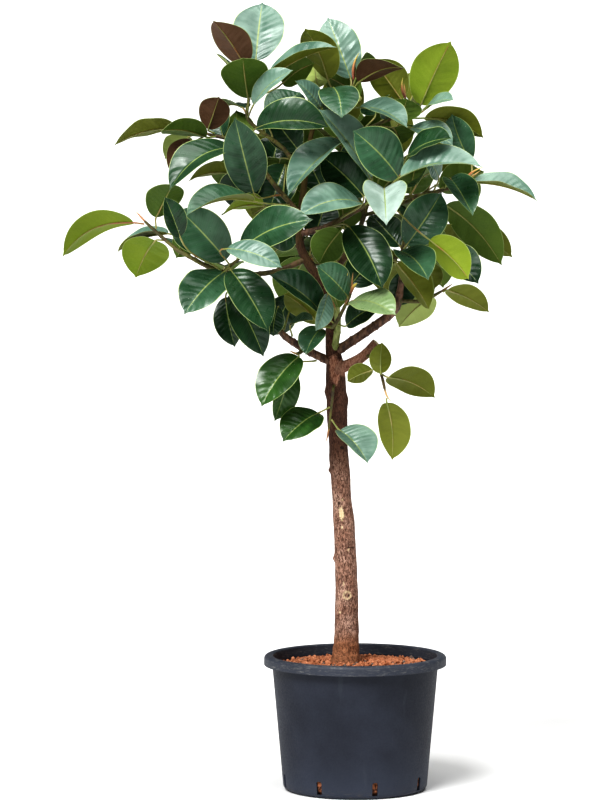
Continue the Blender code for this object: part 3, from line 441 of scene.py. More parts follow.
# Inner and rear leaves that have no node of their own, because the frame is limited to 60 nodes.
INNER_LEAVES = (
    ("inner_top_left_1", "top_left", (-212, 20, 600), (-272, 30, 668), 60, 90, 25, 12, 0.05, "dp"),
    ("inner_top_left_2", "top_left", (-120, 40, 600), (-48, 75, 645), 80, 180, 40, 12, 0.08, "dg"),
    ("inner_top_left_3", "top_left", (-150, 30, 520), (-80, 100, 580), 90, 0, 40, 12, 0.06, "mg"),
    ("inner_top_left_4", "top_left", (-184, -30, 552), (-96, -60, 628), 62, 0, 50, 24, 0.08, "pg"),
    ("inner_fill_1", "leader", (-85, 30, 450), (-150, 60, 530), 84, 0, 20, 12, 0.06, "dg"),
    ("inner_fill_2", "leader", (-30, 40, 360), (-75, 80, 450), 84, 0, 20, 12, 0.06, "dg"),
    ("inner_fill_3", "leader", (-50, 50, 250), (-20, 90, 340), 84, 0, 20, 12, 0.06, "do"),
    ("inner_fill_4", "low_left", (-100, 10, 120), (-140, 40, 30), 74, 0, 20, 12, 0.06, "do"),
    ("inner_fill_5", "left", (-180, 30, 420), (-240, 60, 330), 88, 0, 20, 12, 0.06, "do"),
    ("inner_fill_6", "leader", (-80, 40, 290), (-150, 80, 240), 90, 0, 20, 12, 0.06, "dg"),
    ("inner_fill_7", "top_right", (60, 50, 480), (40, 80, 390), 84, 0, 20, 12, 0.06, "do"),
    ("inner_top_1", "leader", (-40, 30, 590), (-50, 90, 650), 70, 180, 30, 12, 0.05, "dp"),
    ("inner_top_2", "leader", (55, 60, 570), (-30, 120, 620), 90, 180, 25, 12, 0.05, "dg"),
    ("inner_top_3", "leader", (-34, -30, 545), (-92, -60, 605), 62, 0, 50, 14, 0.08, "pg"),
    ("inner_top_4", "leader", (52, -20, 545), (158, -95, 500), 86, 0, 66, 20, 0.12, "pg"),
    ("inner_top_5", "leader", (-30, 60, 530), (-120, 150, 500), 96, 200, 50, 14, 0.1, "dg"),
    ("inner_top_right_1", "top_right", (150, -30, 515), (158, -150, 565), 86, 180, 62, 12, 0.06, "dg"),
    ("inner_top_right_2", "top_right", (198, 10, 540), (262, -40, 562), 60, 0, 60, 14, 0.1, "pp"),
    ("inner_top_right_3", "top_right", (110, 30, 520), (125, -20, 570), 50, 30, 40, 14, 0.06, "pp"),
    ("inner_top_right_4", "top_right", (90, 50, 530), (100, 130, 560), 80, 180, 40, 12, 0.08, "do"),
    ("inner_top_right_5", "top_right", (180, 60, 540), (240, 150, 560), 90, 180, 50, 14, 0.1, "dg"),
    ("inner_top_right_6", "top_right", (170, 10, 500), (262, -40, 460), 70, 0, 55, 16, 0.1, "pg"),
    ("inner_left_1", "left", (-286, -30, 497), (-261, -80, 569), 70, 165, 40, 14, 0.06, "dr"),
    ("inner_left_2", "left", (-254, 0, 482), (-259, 55, 558), 62, -40, 40, 14, 0.05, "mg"),
    ("inner_left_3", "left", (-222, 20, 470), (-225, 80, 540), 76, 180, 30, 12, 0.05, "dg"),
    ("inner_left_4", "left", (-292, -40, 480), (-389, -110, 493), 82, 180, 60, 14, 0.08, "dg"),
    ("inner_left_5", "left", (-330, -10, 480), (-385, 20, 430), 64, 180, 45, 14, 0.08, "dp"),
    ("inner_left_6", "left", (-317, -40, 468), (-365, -90, 392), 74, 180, 35, 14, 0.08, "dr"),
    ("inner_left_7", "left", (-238, -40, 400), (-330, -90, 380), 80, 180, 62, 14, 0.1, "do"),
    ("inner_left_8", "left", (-186, -110, 338), (-331, -200, 308), 92, 0, 72, 32, 0.1, "mo"),
    ("inner_left_9", "left", (-166, -50, 326), (-256, -110, 304), 82, 180, 58, 14, 0.1, "db"),
    ("inner_left_10", "left", (-200, 10, 400), (-235, 60, 320), 90, 0, 30, 12, 0.06, "dg"),
    ("inner_left_11", "left", (-150, 20, 390), (-130, 80, 480), 96, 0, 20, 12, 0.06, "dg"),
    ("inner_far_left_1", "far_left", (-378, -10, 262), (-495, 10, 218), 70, 0, 78, 30, 0.08, "po"),
    ("inner_far_left_2", "far_left", (-315, -40, 268), (-360, -10, 207), 62, 180, 35, 12, 0.08, "dg"),
    ("inner_far_left_3", "far_left", (-285, -30, 225), (-367, 10, 290), 82, -10, 25, 14, 0.05, "dg"),
    ("inner_far_left_4", "far_left", (-345, -75, 262), (-378, -100, 350), 60, 20, 30, 16, 0.06, "dr"),
    ("inner_front_left_1", "front_left", (-240, -165, 236), (-120, -205, 196), 62, 0, 40, 12, 0.1, "pg"),
    ("inner_front_left_2", "far_left", (-248, -30, 120), (-226, -60, 10), 66, -20, 20, 14, 0.06, "dg"),
    ("inner_right_1", "right_upper", (60, -60, 349), (-36, -50, 440), 96, 0, 25, 14, 0.06, "dg"),
    ("inner_right_2", "top_right", (18, -50, 466), (-108, -200, 350), 98, -25, 46, 34, 0.1, "pg"),
    ("inner_right_3", "right_upper", (160, -70, 439), (254, -140, 477), 90, 10, 46, 14, 0.08, "dg"),
    ("inner_right_4", "right_upper", (100, -20, 400), (160, 60, 450), 96, 180, 40, 12, 0.08, "do"),
    ("inner_right_5", "far_right", (256, -20, 387), (302, -130, 306), 84, 0, 58, 34, 0.08, "mr"),
    ("inner_right_6", "far_right", (302, 15, 428), (261, 60, 531), 80, -35, 22, 14, 0.05, "mg"),
    ("inner_right_7", "far_right", (230, -20, 390), (190, -60, 440), 70, 0, 40, 14, 0.06, "pg"),
    ("inner_right_8", "far_right", (180, 10, 370), (230, 100, 400), 92, 180, 44, 14, 0.08, "dg"),
    ("inner_right_9", "far_right", (207, -80, 252), (292, -120, 167), 90, 180, 38, 14, 0.08, "db"),
    ("inner_lower_1", "right_lower", (144, -20, 235), (80, 40, 304), 80, 0, 45, 14, 0.06, "dg"),
    ("inner_lower_2", "right_lower", (135, -70, 198), (207, -110, 97), 86, 150, 25, 26, 0.08, "do"),
    ("inner_lower_3", "right_lower", (205, -40, 195), (222, -30, 140), 50, 180, 30, 14, 0.06, "do"),
    ("inner_lower_4", "right_lower", (160, -40, 180), (140, -30, 100), 66, 0, 25, 14, 0.06, "dg"),
    ("inner_lower_5", "right_side", (216, -55, 122), (142, -10, 50), 86, 180, 36, 12, 0.08, "dp"),
    ("inner_lower_6", "right_lower", (175, 10, 240), (250, 80, 230), 92, 180, 48, 12, 0.08, "dg"),
    ("inner_centre_1", "right_upper", (9, -70, 272), (-38, -80, 198), 80, 170, 40, 14, 0.06, "dg"),
    ("inner_centre_2", "right_upper", (36, -60, 240), (-20, -100, 205), 74, 180, 50, 12, 0.08, "do"),
    ("inner_centre_3", "centre", (24, -135, 128), (-45, -185, 198), 80, -15, 38, 14, 0.06, "mg"),
    ("inner_centre_4", "centre", (32, -90, 150), (81, -60, 205), 80, 20, 30, 14, 0.06, "dg"),
    ("inner_centre_5", "centre", (24, -75, 60), (99, -90, 106), 74, 10, 48, 16, 0.1, "dg"),
    ("inner_centre_6", "centre", (-40, -40, 63), (-117, -60, 130), 86, 180, 46, 14, 0.08, "do"),
    ("inner_centre_7", "centre", (-34, -70, 52), (-68, -120, -4), 62, -10, 40, 22, 0.08, "mg"),
    ("inner_centre_8", "centre", (-20, -80, 130), (-46, -110, 50), 50, 60, 30, 20, 0.06, "pb"),
    ("inner_low_left_1", "low_left", (-130, -40, 100), (-140, -50, 35), 60, -30, 20, 14, 0.06, "dg"),
    ("inner_low_left_2", "low_left", (-100, -50, 62), (-52, -80, 72), 56, 0, 60, 14, 0.06, "pp"),
    ("inner_low_left_3", "low_left", (-150, -20, 90), (-215, 60, 80), 90, 200, 50, 14, 0.1, "dg"),
    ("inner_low_right_1", "low_right", (81, -50, -40), (25, -45, -66), 56, 180, 42, 12, 0.06, "do"),
    ("inner_low_right_2", "low_right", (100, -40, -46), (103, -20, 22), 50, 180, 20, 14, 0.05, "do"),
    ("inner_back_2", "leader", (-100, 60, 330), (-190, 150, 300), 98, 200, 48, 14, 0.1, "do"),
    ("inner_back_3", "leader", (-100, 60, 240), (-150, 160, 200), 96, 190, 46, 14, 0.1, "dg"),
    ("inner_back_4", "back", (20, 110, 270), (10, 190, 380), 98, 180, 30, 12, 0.06, "dg"),
    ("inner_back_5", "back", (60, 110, 220), (120, 180, 150), 96, 170, 40, 12, 0.08, "do"),
    ("rear_back_1", "back", (100, 160, 350), (180, 190, 420), 92, 160, 30, 12, 0.08, "dg"),
    ("rear_back_2", "back", (40, 180, 350), (-40, 260, 400), 94, 190, 44, 12, 0.08, "mg"),
    ("rear_back_3", "back", (60, 120, 230), (90, 230, 200), 92, 175, 50, 14, 0.1, "dg"),
    ("rear_back_4", "back", (100, 220, 400), (150, 320, 400), 94, 170, 50, 14, 0.1, "mg"),
    ("rear_left_1", "back_left", (-150, 210, 330), (-250, 290, 350), 94, 200, 44, 14, 0.1, "dg"),
    ("rear_left_2", "back_left", (-90, 170, 280), (-180, 180, 230), 92, 210, 40, 12, 0.08, "do"),
    ("rear_left_3", "back_left", (-160, 250, 370), (-215, 300, 455), 90, 200, 24, 12, 0.06, "mg"),
    ("rear_left_4", "back_left", (-30, 110, 290), (-100, 100, 370), 80, 190, 26, 12, 0.06, "dg"),
    ("rear_right_1", "back_right", (170, 150, 350), (190, 210, 450), 92, 170, 18, 12, 0.06, "dg"),
    ("rear_right_2", "back_right", (240, 160, 360), (340, 140, 400), 90, 130, 44, 14, 0.1, "mg"),
    ("rear_right_3", "back_right", (150, 200, 300), (130, 300, 330), 92, 180, 50, 12, 0.08, "dg"),
    ("rear_right_4", "back_right", (220, 215, 380), (260, 315, 420), 90, 165, 44, 12, 0.08, "dg"),
    ("rear_top_1", "back_top", (60, 170, 440), (100, 270, 480), 92, 170, 44, 12, 0.08, "dg"),
    ("rear_top_2", "back_top", (-20, 110, 440), (-110, 130, 480), 90, 195, 40, 12, 0.08, "mg"),
    ("rear_top_3", "leader", (-30, 60, 530), (-40, 165, 560), 80, 180, 40, 12, 0.08, "dg"),
    ("rear_top_4", "leader", (50, 45, 620), (95, 130, 650), 74, 165, 44, 12, 0.06, "dg"),
    ("rear_top_left_1", "top_left", (-210, 35, 545), (-270, 120, 540), 78, 205, 50, 12, 0.1, "dg"),
    ("rear_top_left_2", "top_left", (-125, 45, 430), (-135, 150, 400), 84, 185, 50, 12, 0.1, "mg"),
    ("rear_top_right_1", "top_right", (130, 60, 500), (150, 160, 460), 90, 175, 50, 12, 0.1, "dg"),
    ("rear_top_right_2", "top_right", (170, 60, 560), (210, 140, 620), 80, 165, 30, 12, 0.06, "do"),
    ("rear_far_left_1", "far_left", (-250, -10, 190), (-260, 100, 160), 90, 185, 50, 12, 0.1, "dg"),
    ("rear_far_left_2", "far_left", (-340, 0, 220), (-370, 100, 230), 86, 190, 50, 12, 0.1, "mg"),
    ("rear_low_1", "back_low", (-20, 150, 170), (10, 220, 80), 90, 175, 34, 12, 0.08, "dg"),
    ("rear_low_2", "back_low", (-70, 180, 220), (-170, 220, 240), 90, 200, 44, 12, 0.08, "dg"),
    ("rear_side_1", "back_side", (160, 80, 190), (220, 50, 110), 88, 140, 36, 12, 0.08, "dg"),
    ("rear_side_2", "back_side", (120, 130, 190), (110, 220, 120), 90, 175, 38, 12, 0.08, "do"),
    ("rear_side_3", "back_side", (180, 150, 260), (240, 210, 320), 88, 160, 24, 12, 0.06, "mg"),
)

# Blade stations from base to tip with the half width there as a share of the widest.
BLADE = (
    (0.00, 0.05),
    (0.05, 0.38),
    (0.18, 0.72),
    (0.38, 0.96),
    (0.60, 0.97),
    (0.80, 0.70),
    (0.93, 0.34),
    (1.00, 0.03),
)
# One ring round a blade: share across, share of the thickness.
SECTION = ((-1, 0), (-0.6, 0.8), (0, 1), (0.6, 0.8), (1, 0), (0.6, -0.8), (0, -1), (-0.6, -0.8))

# Darkest and lightest colour of a blade. Above: dark, mid, pale (painted sheen), strong green, white
# (painted highlight), yellowish.
UPPER_COLOURS = {
    "d": ((0.007, 0.028, 0.009), (0.028, 0.080, 0.034)),
    "m": ((0.014, 0.050, 0.020), (0.062, 0.145, 0.080)),
    # Painted sheen: a lighter copy of the green for leaves that catch the light.
    "p": ((0.055, 0.120, 0.085), (0.200, 0.305, 0.240)),
    "s": ((0.012, 0.044, 0.007), (0.044, 0.118, 0.022)),
    # Painted highlight: a near-white copy of the green for a strongly lit leaf.
    "w": ((0.190, 0.270, 0.220), (0.470, 0.560, 0.510)),
    "y": ((0.170, 0.250, 0.110), (0.300, 0.390, 0.210)),
}
# Below: olive, bright (painted light through the leaf), red, green, pale (painted light through the leaf).
LOWER_COLOURS = {
    "o": ((0.110, 0.130, 0.012), (0.170, 0.190, 0.030)),
    # Painted light: a brighter copy of the underside for light shining through a backlit leaf.
    "b": ((0.140, 0.210, 0.010), (0.230, 0.290, 0.034)),
    "r": ((0.070, 0.034, 0.014), (0.150, 0.085, 0.050)),
    "g": ((0.060, 0.110, 0.015), (0.120, 0.180, 0.030)),
    # Painted light: a pale copy of the underside for light shining through a backlit leaf.
    "p": ((0.260, 0.320, 0.080), (0.360, 0.430, 0.160)),
}

# Marks on the trunk: height above the substrate, turn from the front to the right in degrees,
# half height, half width, kind.
TRUNK_MARKS = (
    (0.339, -10, 0.0165, 0.0062, "scar"),
    (0.362, -20, 0.0045, 0.0040, "dark"),
    (0.370, 2, 0.0036, 0.0020, "fleck"),
    (0.308, -12, 0.0040, 0.0018, "fleck"),
    (0.154, 2, 0.0090, 0.0092, "eyes"),
    (0.130, 4, 0.0080, 0.0060, "ring"),
    (0.262, 30, 0.0012, 0.0115, "slit"),
    (0.273, 26, 0.0075, 0.0070, "ring"),
    (0.257, 16, 0.0040, 0.0018, "fleck"),
    (0.115, -35, 0.0030, 0.0034, "fleck"),
    (0.180, -15, 0.0060, 0.0016, "fleck"),
    (0.594, 82, 0.0160, 0.0110, "bump"),
    (0.612, -86, 0.0130, 0.0100, "bump"),
    (0.236, -84, 0.0075, 0.0060, "bump"),
    (0.435, -88, 0.0060, 0.0060, "bump"),
    (0.488, 24, 0.0045, 0.0065, "dark"),
    (0.556, 8, 0.0130, 0.0090, "ring"),
    (0.660, 4, 0.0060, 0.0050, "dark"),
    (0.664, -4, 0.0360, 0.0140, "torn"),
    (0.230, 170, 0.0120, 0.0080, "scar"),
    (0.400, 150, 0.0100, 0.0100, "eyes"),
    (0.310, 215, 0.0010, 0.0120, "slit"),
    (0.540, 190, 0.0120, 0.0100, "ring"),
)
# Where the bark changes, as heights above the substrate: the rough foot, and below the fork bark that is
# partly darker wood and partly painted shade under the crown.
FOOT_ZONE = (0.035, 0.080)
DARK_AND_SHADED_ZONE = (0.400, 0.500)

# Pointed sheaths over new leaves: stem, place and tip from the fork, radius.
SHEATHS = (
    ("centre", (0.030, -0.118, 0.117), (0.025, -0.150, 0.180), 0.0030),
    ("centre", (0.030, -0.118, 0.117), (0.046, -0.150, 0.158), 0.0046),
    ("left", (-0.286, -0.025, 0.486), (-0.341, -0.075, 0.513), 0.0026),
    ("front_left", (-0.216, -0.105, 0.218), (-0.178, -0.165, 0.240), 0.0040),
    ("leader", (0.040, 0.010, 0.607), (0.052, -0.005, 0.668), 0.0032),
    ("top_right", (0.156, 0.018, 0.560), (0.150, 0.000, 0.612), 0.0030),
    ("far_right", (0.286, 0.000, 0.378), (0.330, -0.020, 0.412), 0.0028),
    ("back", (0.078, 0.200, 0.375), (0.090, 0.240, 0.440), 0.0032),
    ("back_left", (-0.118, 0.220, 0.322), (-0.150, 0.260, 0.365), 0.0030),
)


# Materials


class Nodes:
    """Short calls for a material's nodes."""

    def __init__(self, name):
        self.material = bpy.data.materials.new(name)
        self.material.use_nodes = True
        self.tree = self.material.node_tree
        self.shader = self.tree.nodes["Principled BSDF"]

    def link(self, value, socket):
        if isinstance(value, bpy.types.NodeSocket):
            self.tree.links.new(value, socket)
        else:
            socket.default_value = value

    def add(self, kind, **settings):
        node = self.tree.nodes.new(kind)
        for key, value in settings.items():
            setattr(node, key, value)
        return node

    def call(self, kind, output, **inputs):
        """A node with its inputs set or linked by name, and its output."""
        node = self.add(kind)
        for name, value in inputs.items():
            self.link(value, node.inputs[name])
        return node.outputs[output]

    def coordinates(self, source="Object"):
        return self.add("ShaderNodeTexCoord").outputs[source]

    def attribute(self, name):
        return self.add("ShaderNodeAttribute", attribute_name=name).outputs["Color"]

    def split(self, vector):
        node = self.add("ShaderNodeSeparateXYZ")
        self.link(vector, node.inputs[0])
        return node.outputs

    def scaled(self, vector, scale):
        return self.call("ShaderNodeMapping", 0, Vector=vector, Scale=scale)

    def noise(self, vector, scale, detail=4.0, rough=0.55, distortion=0.0):
        return self.call("ShaderNodeTexNoise", "Fac", Vector=vector, Scale=scale, Detail=detail,
                         Roughness=rough, Distortion=distortion)

    def cells(self, vector, scale):
        return self.call("ShaderNodeTexVoronoi", "Distance", Vector=vector, Scale=scale)

    def math(self, operation, first, second=0.0, third=0.0):
        node = self.add("ShaderNodeMath", operation=operation)
        self.link(first, node.inputs[0])
        self.link(second, node.inputs[1])
        self.link(third, node.inputs[2])
        return node.outputs[0]

    def ramp(self, value, low, high, bottom=0.0, top=1.0):
        """value taken smoothly from the range low-high to bottom-top."""
        node = self.add("ShaderNodeMapRange", interpolation_type="SMOOTHSTEP")
        self.link(value, node.inputs["Value"])
        node.inputs["From Min"].default_value = low
        node.inputs["From Max"].default_value = high
        node.inputs["To Min"].default_value = bottom
        node.inputs["To Max"].default_value = top
        return node.outputs[0]

    def mix(self, share, first, second):
        node = self.add("ShaderNodeMix", data_type="RGBA")
        self.link(share, node.inputs["Factor"])
        for value, socket in ((first, node.inputs["A"]), (second, node.inputs["B"])):
            self.link((*value, 1) if isinstance(value, tuple) else value, socket)
        return node.outputs["Result"]

    def bump(self, height, strength, distance, under=None):
        below = {} if under is None else {"Normal": under}
        return self.call("ShaderNodeBump", 0, Height=height, Strength=strength, Distance=distance, **below)

    def finish(self, colour, roughness, normal=None, **sockets):
        self.link(colour, self.shader.inputs["Base Color"])
        self.link(roughness, self.shader.inputs["Roughness"])
        if normal is not None:
            self.link(normal, self.shader.inputs["Normal"])
        for name, value in sockets.items():
            self.shader.inputs[name.replace("_", " ")].default_value = value
        return self.material


def leaf_masks(n):
    """Masks over a blade from its UV map: across from the midrib, ripples, midrib, veins and margin."""
    place = n.split(n.coordinates("UV"))
    along = place[1]
    across = n.math("ABSOLUTE", n.math("MULTIPLY_ADD", place[0], 2.0, -1.0))
    wander = n.noise(n.coordinates(), 18.0, 2.0)
    phase = n.math("MULTIPLY_ADD", across, -VEIN_SLANT, along)
    phase = n.math("MULTIPLY_ADD", wander, VEIN_WANDER, phase)
    wave = n.math("SINE", n.math("MULTIPLY", phase, VEIN_COUNT * math.tau))
    veins = n.math("MULTIPLY", n.ramp(wave, 0.80, 1.0), n.ramp(across, 1.0, 0.75))
    swell = n.math("SINE", n.math("MULTIPLY", phase, VEIN_COUNT / 3 * math.tau))
    ripples = n.math("MULTIPLY", swell, n.ramp(across, 1.0, 0.6))
    midrib = n.ramp(n.math("MULTIPLY_ADD", along, 0.018, across), 0.050, 0.026)
    margin = n.ramp(across, 0.955, 0.985)
    return across, ripples, midrib, veins, margin


def leaf_upper(name, dark, light):
    n = Nodes(name)
    across, ripples, midrib, veins, margin = leaf_masks(n)
    place = n.coordinates()
    tone = n.split(n.attribute("tone"))[0]
    cloud = n.noise(place, 15.0, 3.0)
    share = n.math("MULTIPLY_ADD", tone, 0.45, n.ramp(cloud, 0.38, 0.66, 0.0, 0.55))
    colour = n.mix(share, dark, light)
    near_rib = n.math("MULTIPLY", n.ramp(across, 0.30, 0.02), 0.30)
    colour = n.mix(near_rib, colour, light)
    colour = n.mix(n.math("MULTIPLY", veins, 0.08), colour, PALE_VEIN)
    dust = n.ramp(n.noise(place, 230.0, 1.0), 0.76, 0.82, 0.0, 0.45)
    colour = n.mix(dust, colour, PALE_SPOT)
    colour = n.mix(n.math("MULTIPLY", margin, 0.8), colour, PALE_MARGIN)
    colour = n.mix(n.math("MULTIPLY", midrib, 0.9), colour, MIDRIB_COLOUR)
    rough = n.ramp(n.noise(place, 42.0, 3.0), 0.3, 0.7, 0.26, 0.40)
    normal = n.bump(ripples, 0.30, 0.0012)
    normal = n.bump(n.noise(place, 38.0, 2.0), 0.20, 0.0025, normal)
    normal = n.bump(n.noise(place, 17.0, 1.0), 0.55, 0.010, normal)
    return n.finish(colour, rough, normal, Coat_Weight=0.14, Coat_Roughness=0.18, Specular_IOR_Level=0.40)


def leaf_lower(name, dark, light):
    n = Nodes(name)
    across, ripples, midrib, veins, margin = leaf_masks(n)
    place = n.coordinates()
    tone = n.split(n.attribute("tone"))[0]
    cloud = n.noise(place, 14.0, 3.0)
    share = n.math("MULTIPLY_ADD", tone, 0.5, n.ramp(cloud, 0.3, 0.75, 0.0, 0.5))
    colour = n.mix(share, dark, light)
    fine = n.ramp(n.noise(place, 240.0, 3.0), 0.35, 0.65, 0.0, 0.25)
    colour = n.mix(fine, colour, light)
    colour = n.mix(n.math("MULTIPLY", veins, 0.16), colour, light)
    colour = n.mix(n.math("MULTIPLY", margin, 0.5), colour, PALE_MARGIN)
    colour = n.mix(n.math("MULTIPLY", midrib, 0.7), colour, UNDER_RIB_COLOUR)
    rough = n.ramp(cloud, 0.3, 0.7, 0.50, 0.64)
    height = n.math("MULTIPLY_ADD", midrib, 1.0, n.math("MULTIPLY", veins, 0.35))
    normal = n.bump(height, 0.45, 0.0008)
    normal = n.bump(ripples, 0.12, 0.0012, normal)
    return n.finish(colour, rough, normal, Specular_IOR_Level=0.25)


def petiole_look():
    n = Nodes("petiole_skin")
    place = n.coordinates()
    cloud = n.noise(place, 45.0, 3.0)
    colour = n.mix(n.ramp(cloud, 0.35, 0.7), (0.20, 0.24, 0.06), (0.33, 0.30, 0.11))
    colour = n.mix(n.ramp(n.noise(place, 16.0, 2.0), 0.55, 0.75), colour, (0.30, 0.12, 0.05))
    return n.finish(colour, n.ramp(cloud, 0.3, 0.7, 0.35, 0.5), n.bump(cloud, 0.2, 0.0008))


def bark_look():
    """Woody trunk: short upright wrinkles, pale pores, and the marks and zones held in the mesh."""
    n = Nodes("trunk_bark")
    place = n.coordinates()
    marks = n.split(n.attribute("marks"))
    zones = n.split(n.attribute("zones"))
    wrinkle = n.noise(n.scaled(place, (1.0, 1.0, 0.38)), 330.0, 5.0, 0.66, 1.1)
    crack = n.noise(n.scaled(place, (1.0, 1.0, 0.40)), 165.0, 4.0, 0.6, 1.6)
    broad = n.noise(n.scaled(place, (1.0, 1.0, 0.6)), 30.0, 4.0, 0.6)
    pore = n.noise(n.scaled(place, (1.0, 1.0, 0.8)), 330.0, 2.0, 0.5)
    light = n.mix(n.ramp(broad, 0.35, 0.68), (0.330, 0.185, 0.130), (0.540, 0.360, 0.280))
    colour = n.mix(n.ramp(wrinkle, 0.40, 0.60), (0.085, 0.040, 0.027), light)
    colour = n.mix(n.ramp(crack, 0.40, 0.33, 0.0, 0.85), colour, (0.050, 0.023, 0.015))
    colour = n.mix(n.ramp(pore, 0.66, 0.74, 0.0, 0.6), colour, (0.560, 0.430, 0.340))
    # Darker bark below the fork: partly the bark's own darker colour, partly painted shade under the
    # crown.
    shade = n.mix(n.ramp(wrinkle, 0.34, 0.62), (0.038, 0.017, 0.011), (0.125, 0.062, 0.041))
    colour = n.mix(zones[1], colour, shade)
    foot = n.mix(n.ramp(wrinkle, 0.36, 0.60), (0.090, 0.040, 0.022), (0.360, 0.170, 0.090))
    colour = n.mix(zones[0], colour, foot)
    torn = n.mix(n.ramp(crack, 0.35, 0.62), (0.190, 0.080, 0.050), (0.480, 0.250, 0.170))
    colour = n.mix(zones[2], colour, torn)
    # Young bark of the leader in the crown: its own colour, darkened further as painted shade among the
    # leaves.
    young = n.mix(n.ramp(broad, 0.35, 0.7), (0.045, 0.028, 0.012), (0.120, 0.090, 0.030))
    colour = n.mix(marks[2], colour, young)
    cream = n.mix(n.ramp(wrinkle, 0.3, 0.7), (0.52, 0.40, 0.22), (0.80, 0.68, 0.46))
    colour = n.mix(marks[0], colour, cream)
    colour = n.mix(marks[1], colour, (0.018, 0.010, 0.007))
    height = n.math("MULTIPLY_ADD", crack, 0.8, wrinkle)
    normal = n.bump(height, 0.85, 0.0020)
    return n.finish(colour, n.ramp(wrinkle, 0.3, 0.7, 0.74, 0.9), normal, Specular_IOR_Level=0.25)


def green_skin_look():
    """The thick green stub of the last pruning."""
    n = Nodes("green_bark")
    place = n.coordinates()
    cloud = n.noise(n.scaled(place, (1.0, 1.0, 0.4)), 90.0, 4.0, 0.6)
    colour = n.mix(n.ramp(cloud, 0.35, 0.68), (0.170, 0.200, 0.055), (0.330, 0.370, 0.140))
    colour = n.mix(n.ramp(n.noise(place, 210.0, 3.0), 0.62, 0.72, 0.0, 0.5), colour, (0.16, 0.10, 0.04))
    return n.finish(colour, n.ramp(cloud, 0.3, 0.7, 0.5, 0.65), n.bump(cloud, 0.4, 0.0010))


def sheath_look():
    """A leaf sheath: pink-brown at its foot, orange in the middle, yellow-green at its tip."""
    n = Nodes("sheath_skin")
    share = n.split(n.attribute("share"))[0]
    cloud = n.noise(n.coordinates(), 160.0, 3.0)
    colour = n.mix(n.ramp(share, 0.15, 0.5), (0.34, 0.11, 0.07), (0.62, 0.27, 0.12))
    colour = n.mix(n.ramp(share, 0.45, 0.9), colour, (0.62, 0.55, 0.12))
    colour = n.mix(n.ramp(cloud, 0.4, 0.7, 0.0, 0.35), colour, (0.60, 0.32, 0.22))
    return n.finish(colour, n.ramp(cloud, 0.3, 0.7, 0.40, 0.55), n.bump(cloud, 0.25, 0.0006))


def stem_look():
    """Branches: brown bark where they are thick, green skin where they are young, pink-brown buds."""
    n = Nodes("stem_skin")
    place = n.coordinates()
    marks = n.split(n.attribute("marks"))
    grain = n.noise(n.scaled(place, (1.0, 1.0, 0.35)), 150.0, 5.0, 0.6, 0.4)
    cloud = n.noise(place, 40.0, 3.0)
    old = n.mix(n.ramp(grain, 0.38, 0.62), (0.055, 0.026, 0.016), (0.185, 0.100, 0.062))
    green = n.mix(n.ramp(cloud, 0.35, 0.68), (0.050, 0.045, 0.014), (0.150, 0.145, 0.040))
    green = n.mix(n.ramp(grain, 0.50, 0.62, 0.0, 0.7), green, (0.085, 0.040, 0.020))
    colour = n.mix(marks[2], old, green)
    bud = n.mix(n.ramp(cloud, 0.35, 0.7), (0.50, 0.24, 0.11), (0.55, 0.42, 0.16))
    colour = n.mix(marks[0], colour, bud)
    colour = n.mix(marks[1], colour, (0.045, 0.028, 0.016))
    normal = n.bump(grain, 0.5, 0.0012)
    return n.finish(colour, n.ramp(cloud, 0.3, 0.7, 0.5, 0.72), normal)


def granule_look():
    n = Nodes("fired_clay")
    place = n.coordinates()
    tint = n.attribute("tint")
    pores = n.noise(place, 420.0, 5.0, 0.65)
    colour = n.mix(n.ramp(pores, 0.40, 0.62), n.mix(0.55, tint, (0.10, 0.035, 0.018)), tint)
    colour = n.mix(n.ramp(n.noise(place, 130.0, 3.0), 0.58, 0.75, 0.0, 0.4), colour, (0.55, 0.36, 0.26))
    rough = n.ramp(pores, 0.3, 0.7, 0.85, 0.97)
    return n.finish(colour, rough, n.bump(pores, 0.7, 0.0012), Specular_IOR_Level=0.2)


def bed_look():
    n = Nodes("clay_bed")
    place = n.coordinates()
    stones = n.cells(place, 110.0)
    pores = n.noise(place, 380.0, 4.0)
    # Painted shade: the gaps between the stones are drawn near-black.
    colour = n.mix(n.ramp(stones, 0.25, 0.75), (0.300, 0.120, 0.060), (0.040, 0.016, 0.010))
    colour = n.mix(n.ramp(pores, 0.45, 0.65, 0.0, 0.5), colour, (0.420, 0.210, 0.120))
    normal = n.bump(stones, 0.9, 0.004)
    return n.finish(colour, n.ramp(pores, 0.3, 0.7, 0.86, 0.96), normal, Specular_IOR_Level=0.2)


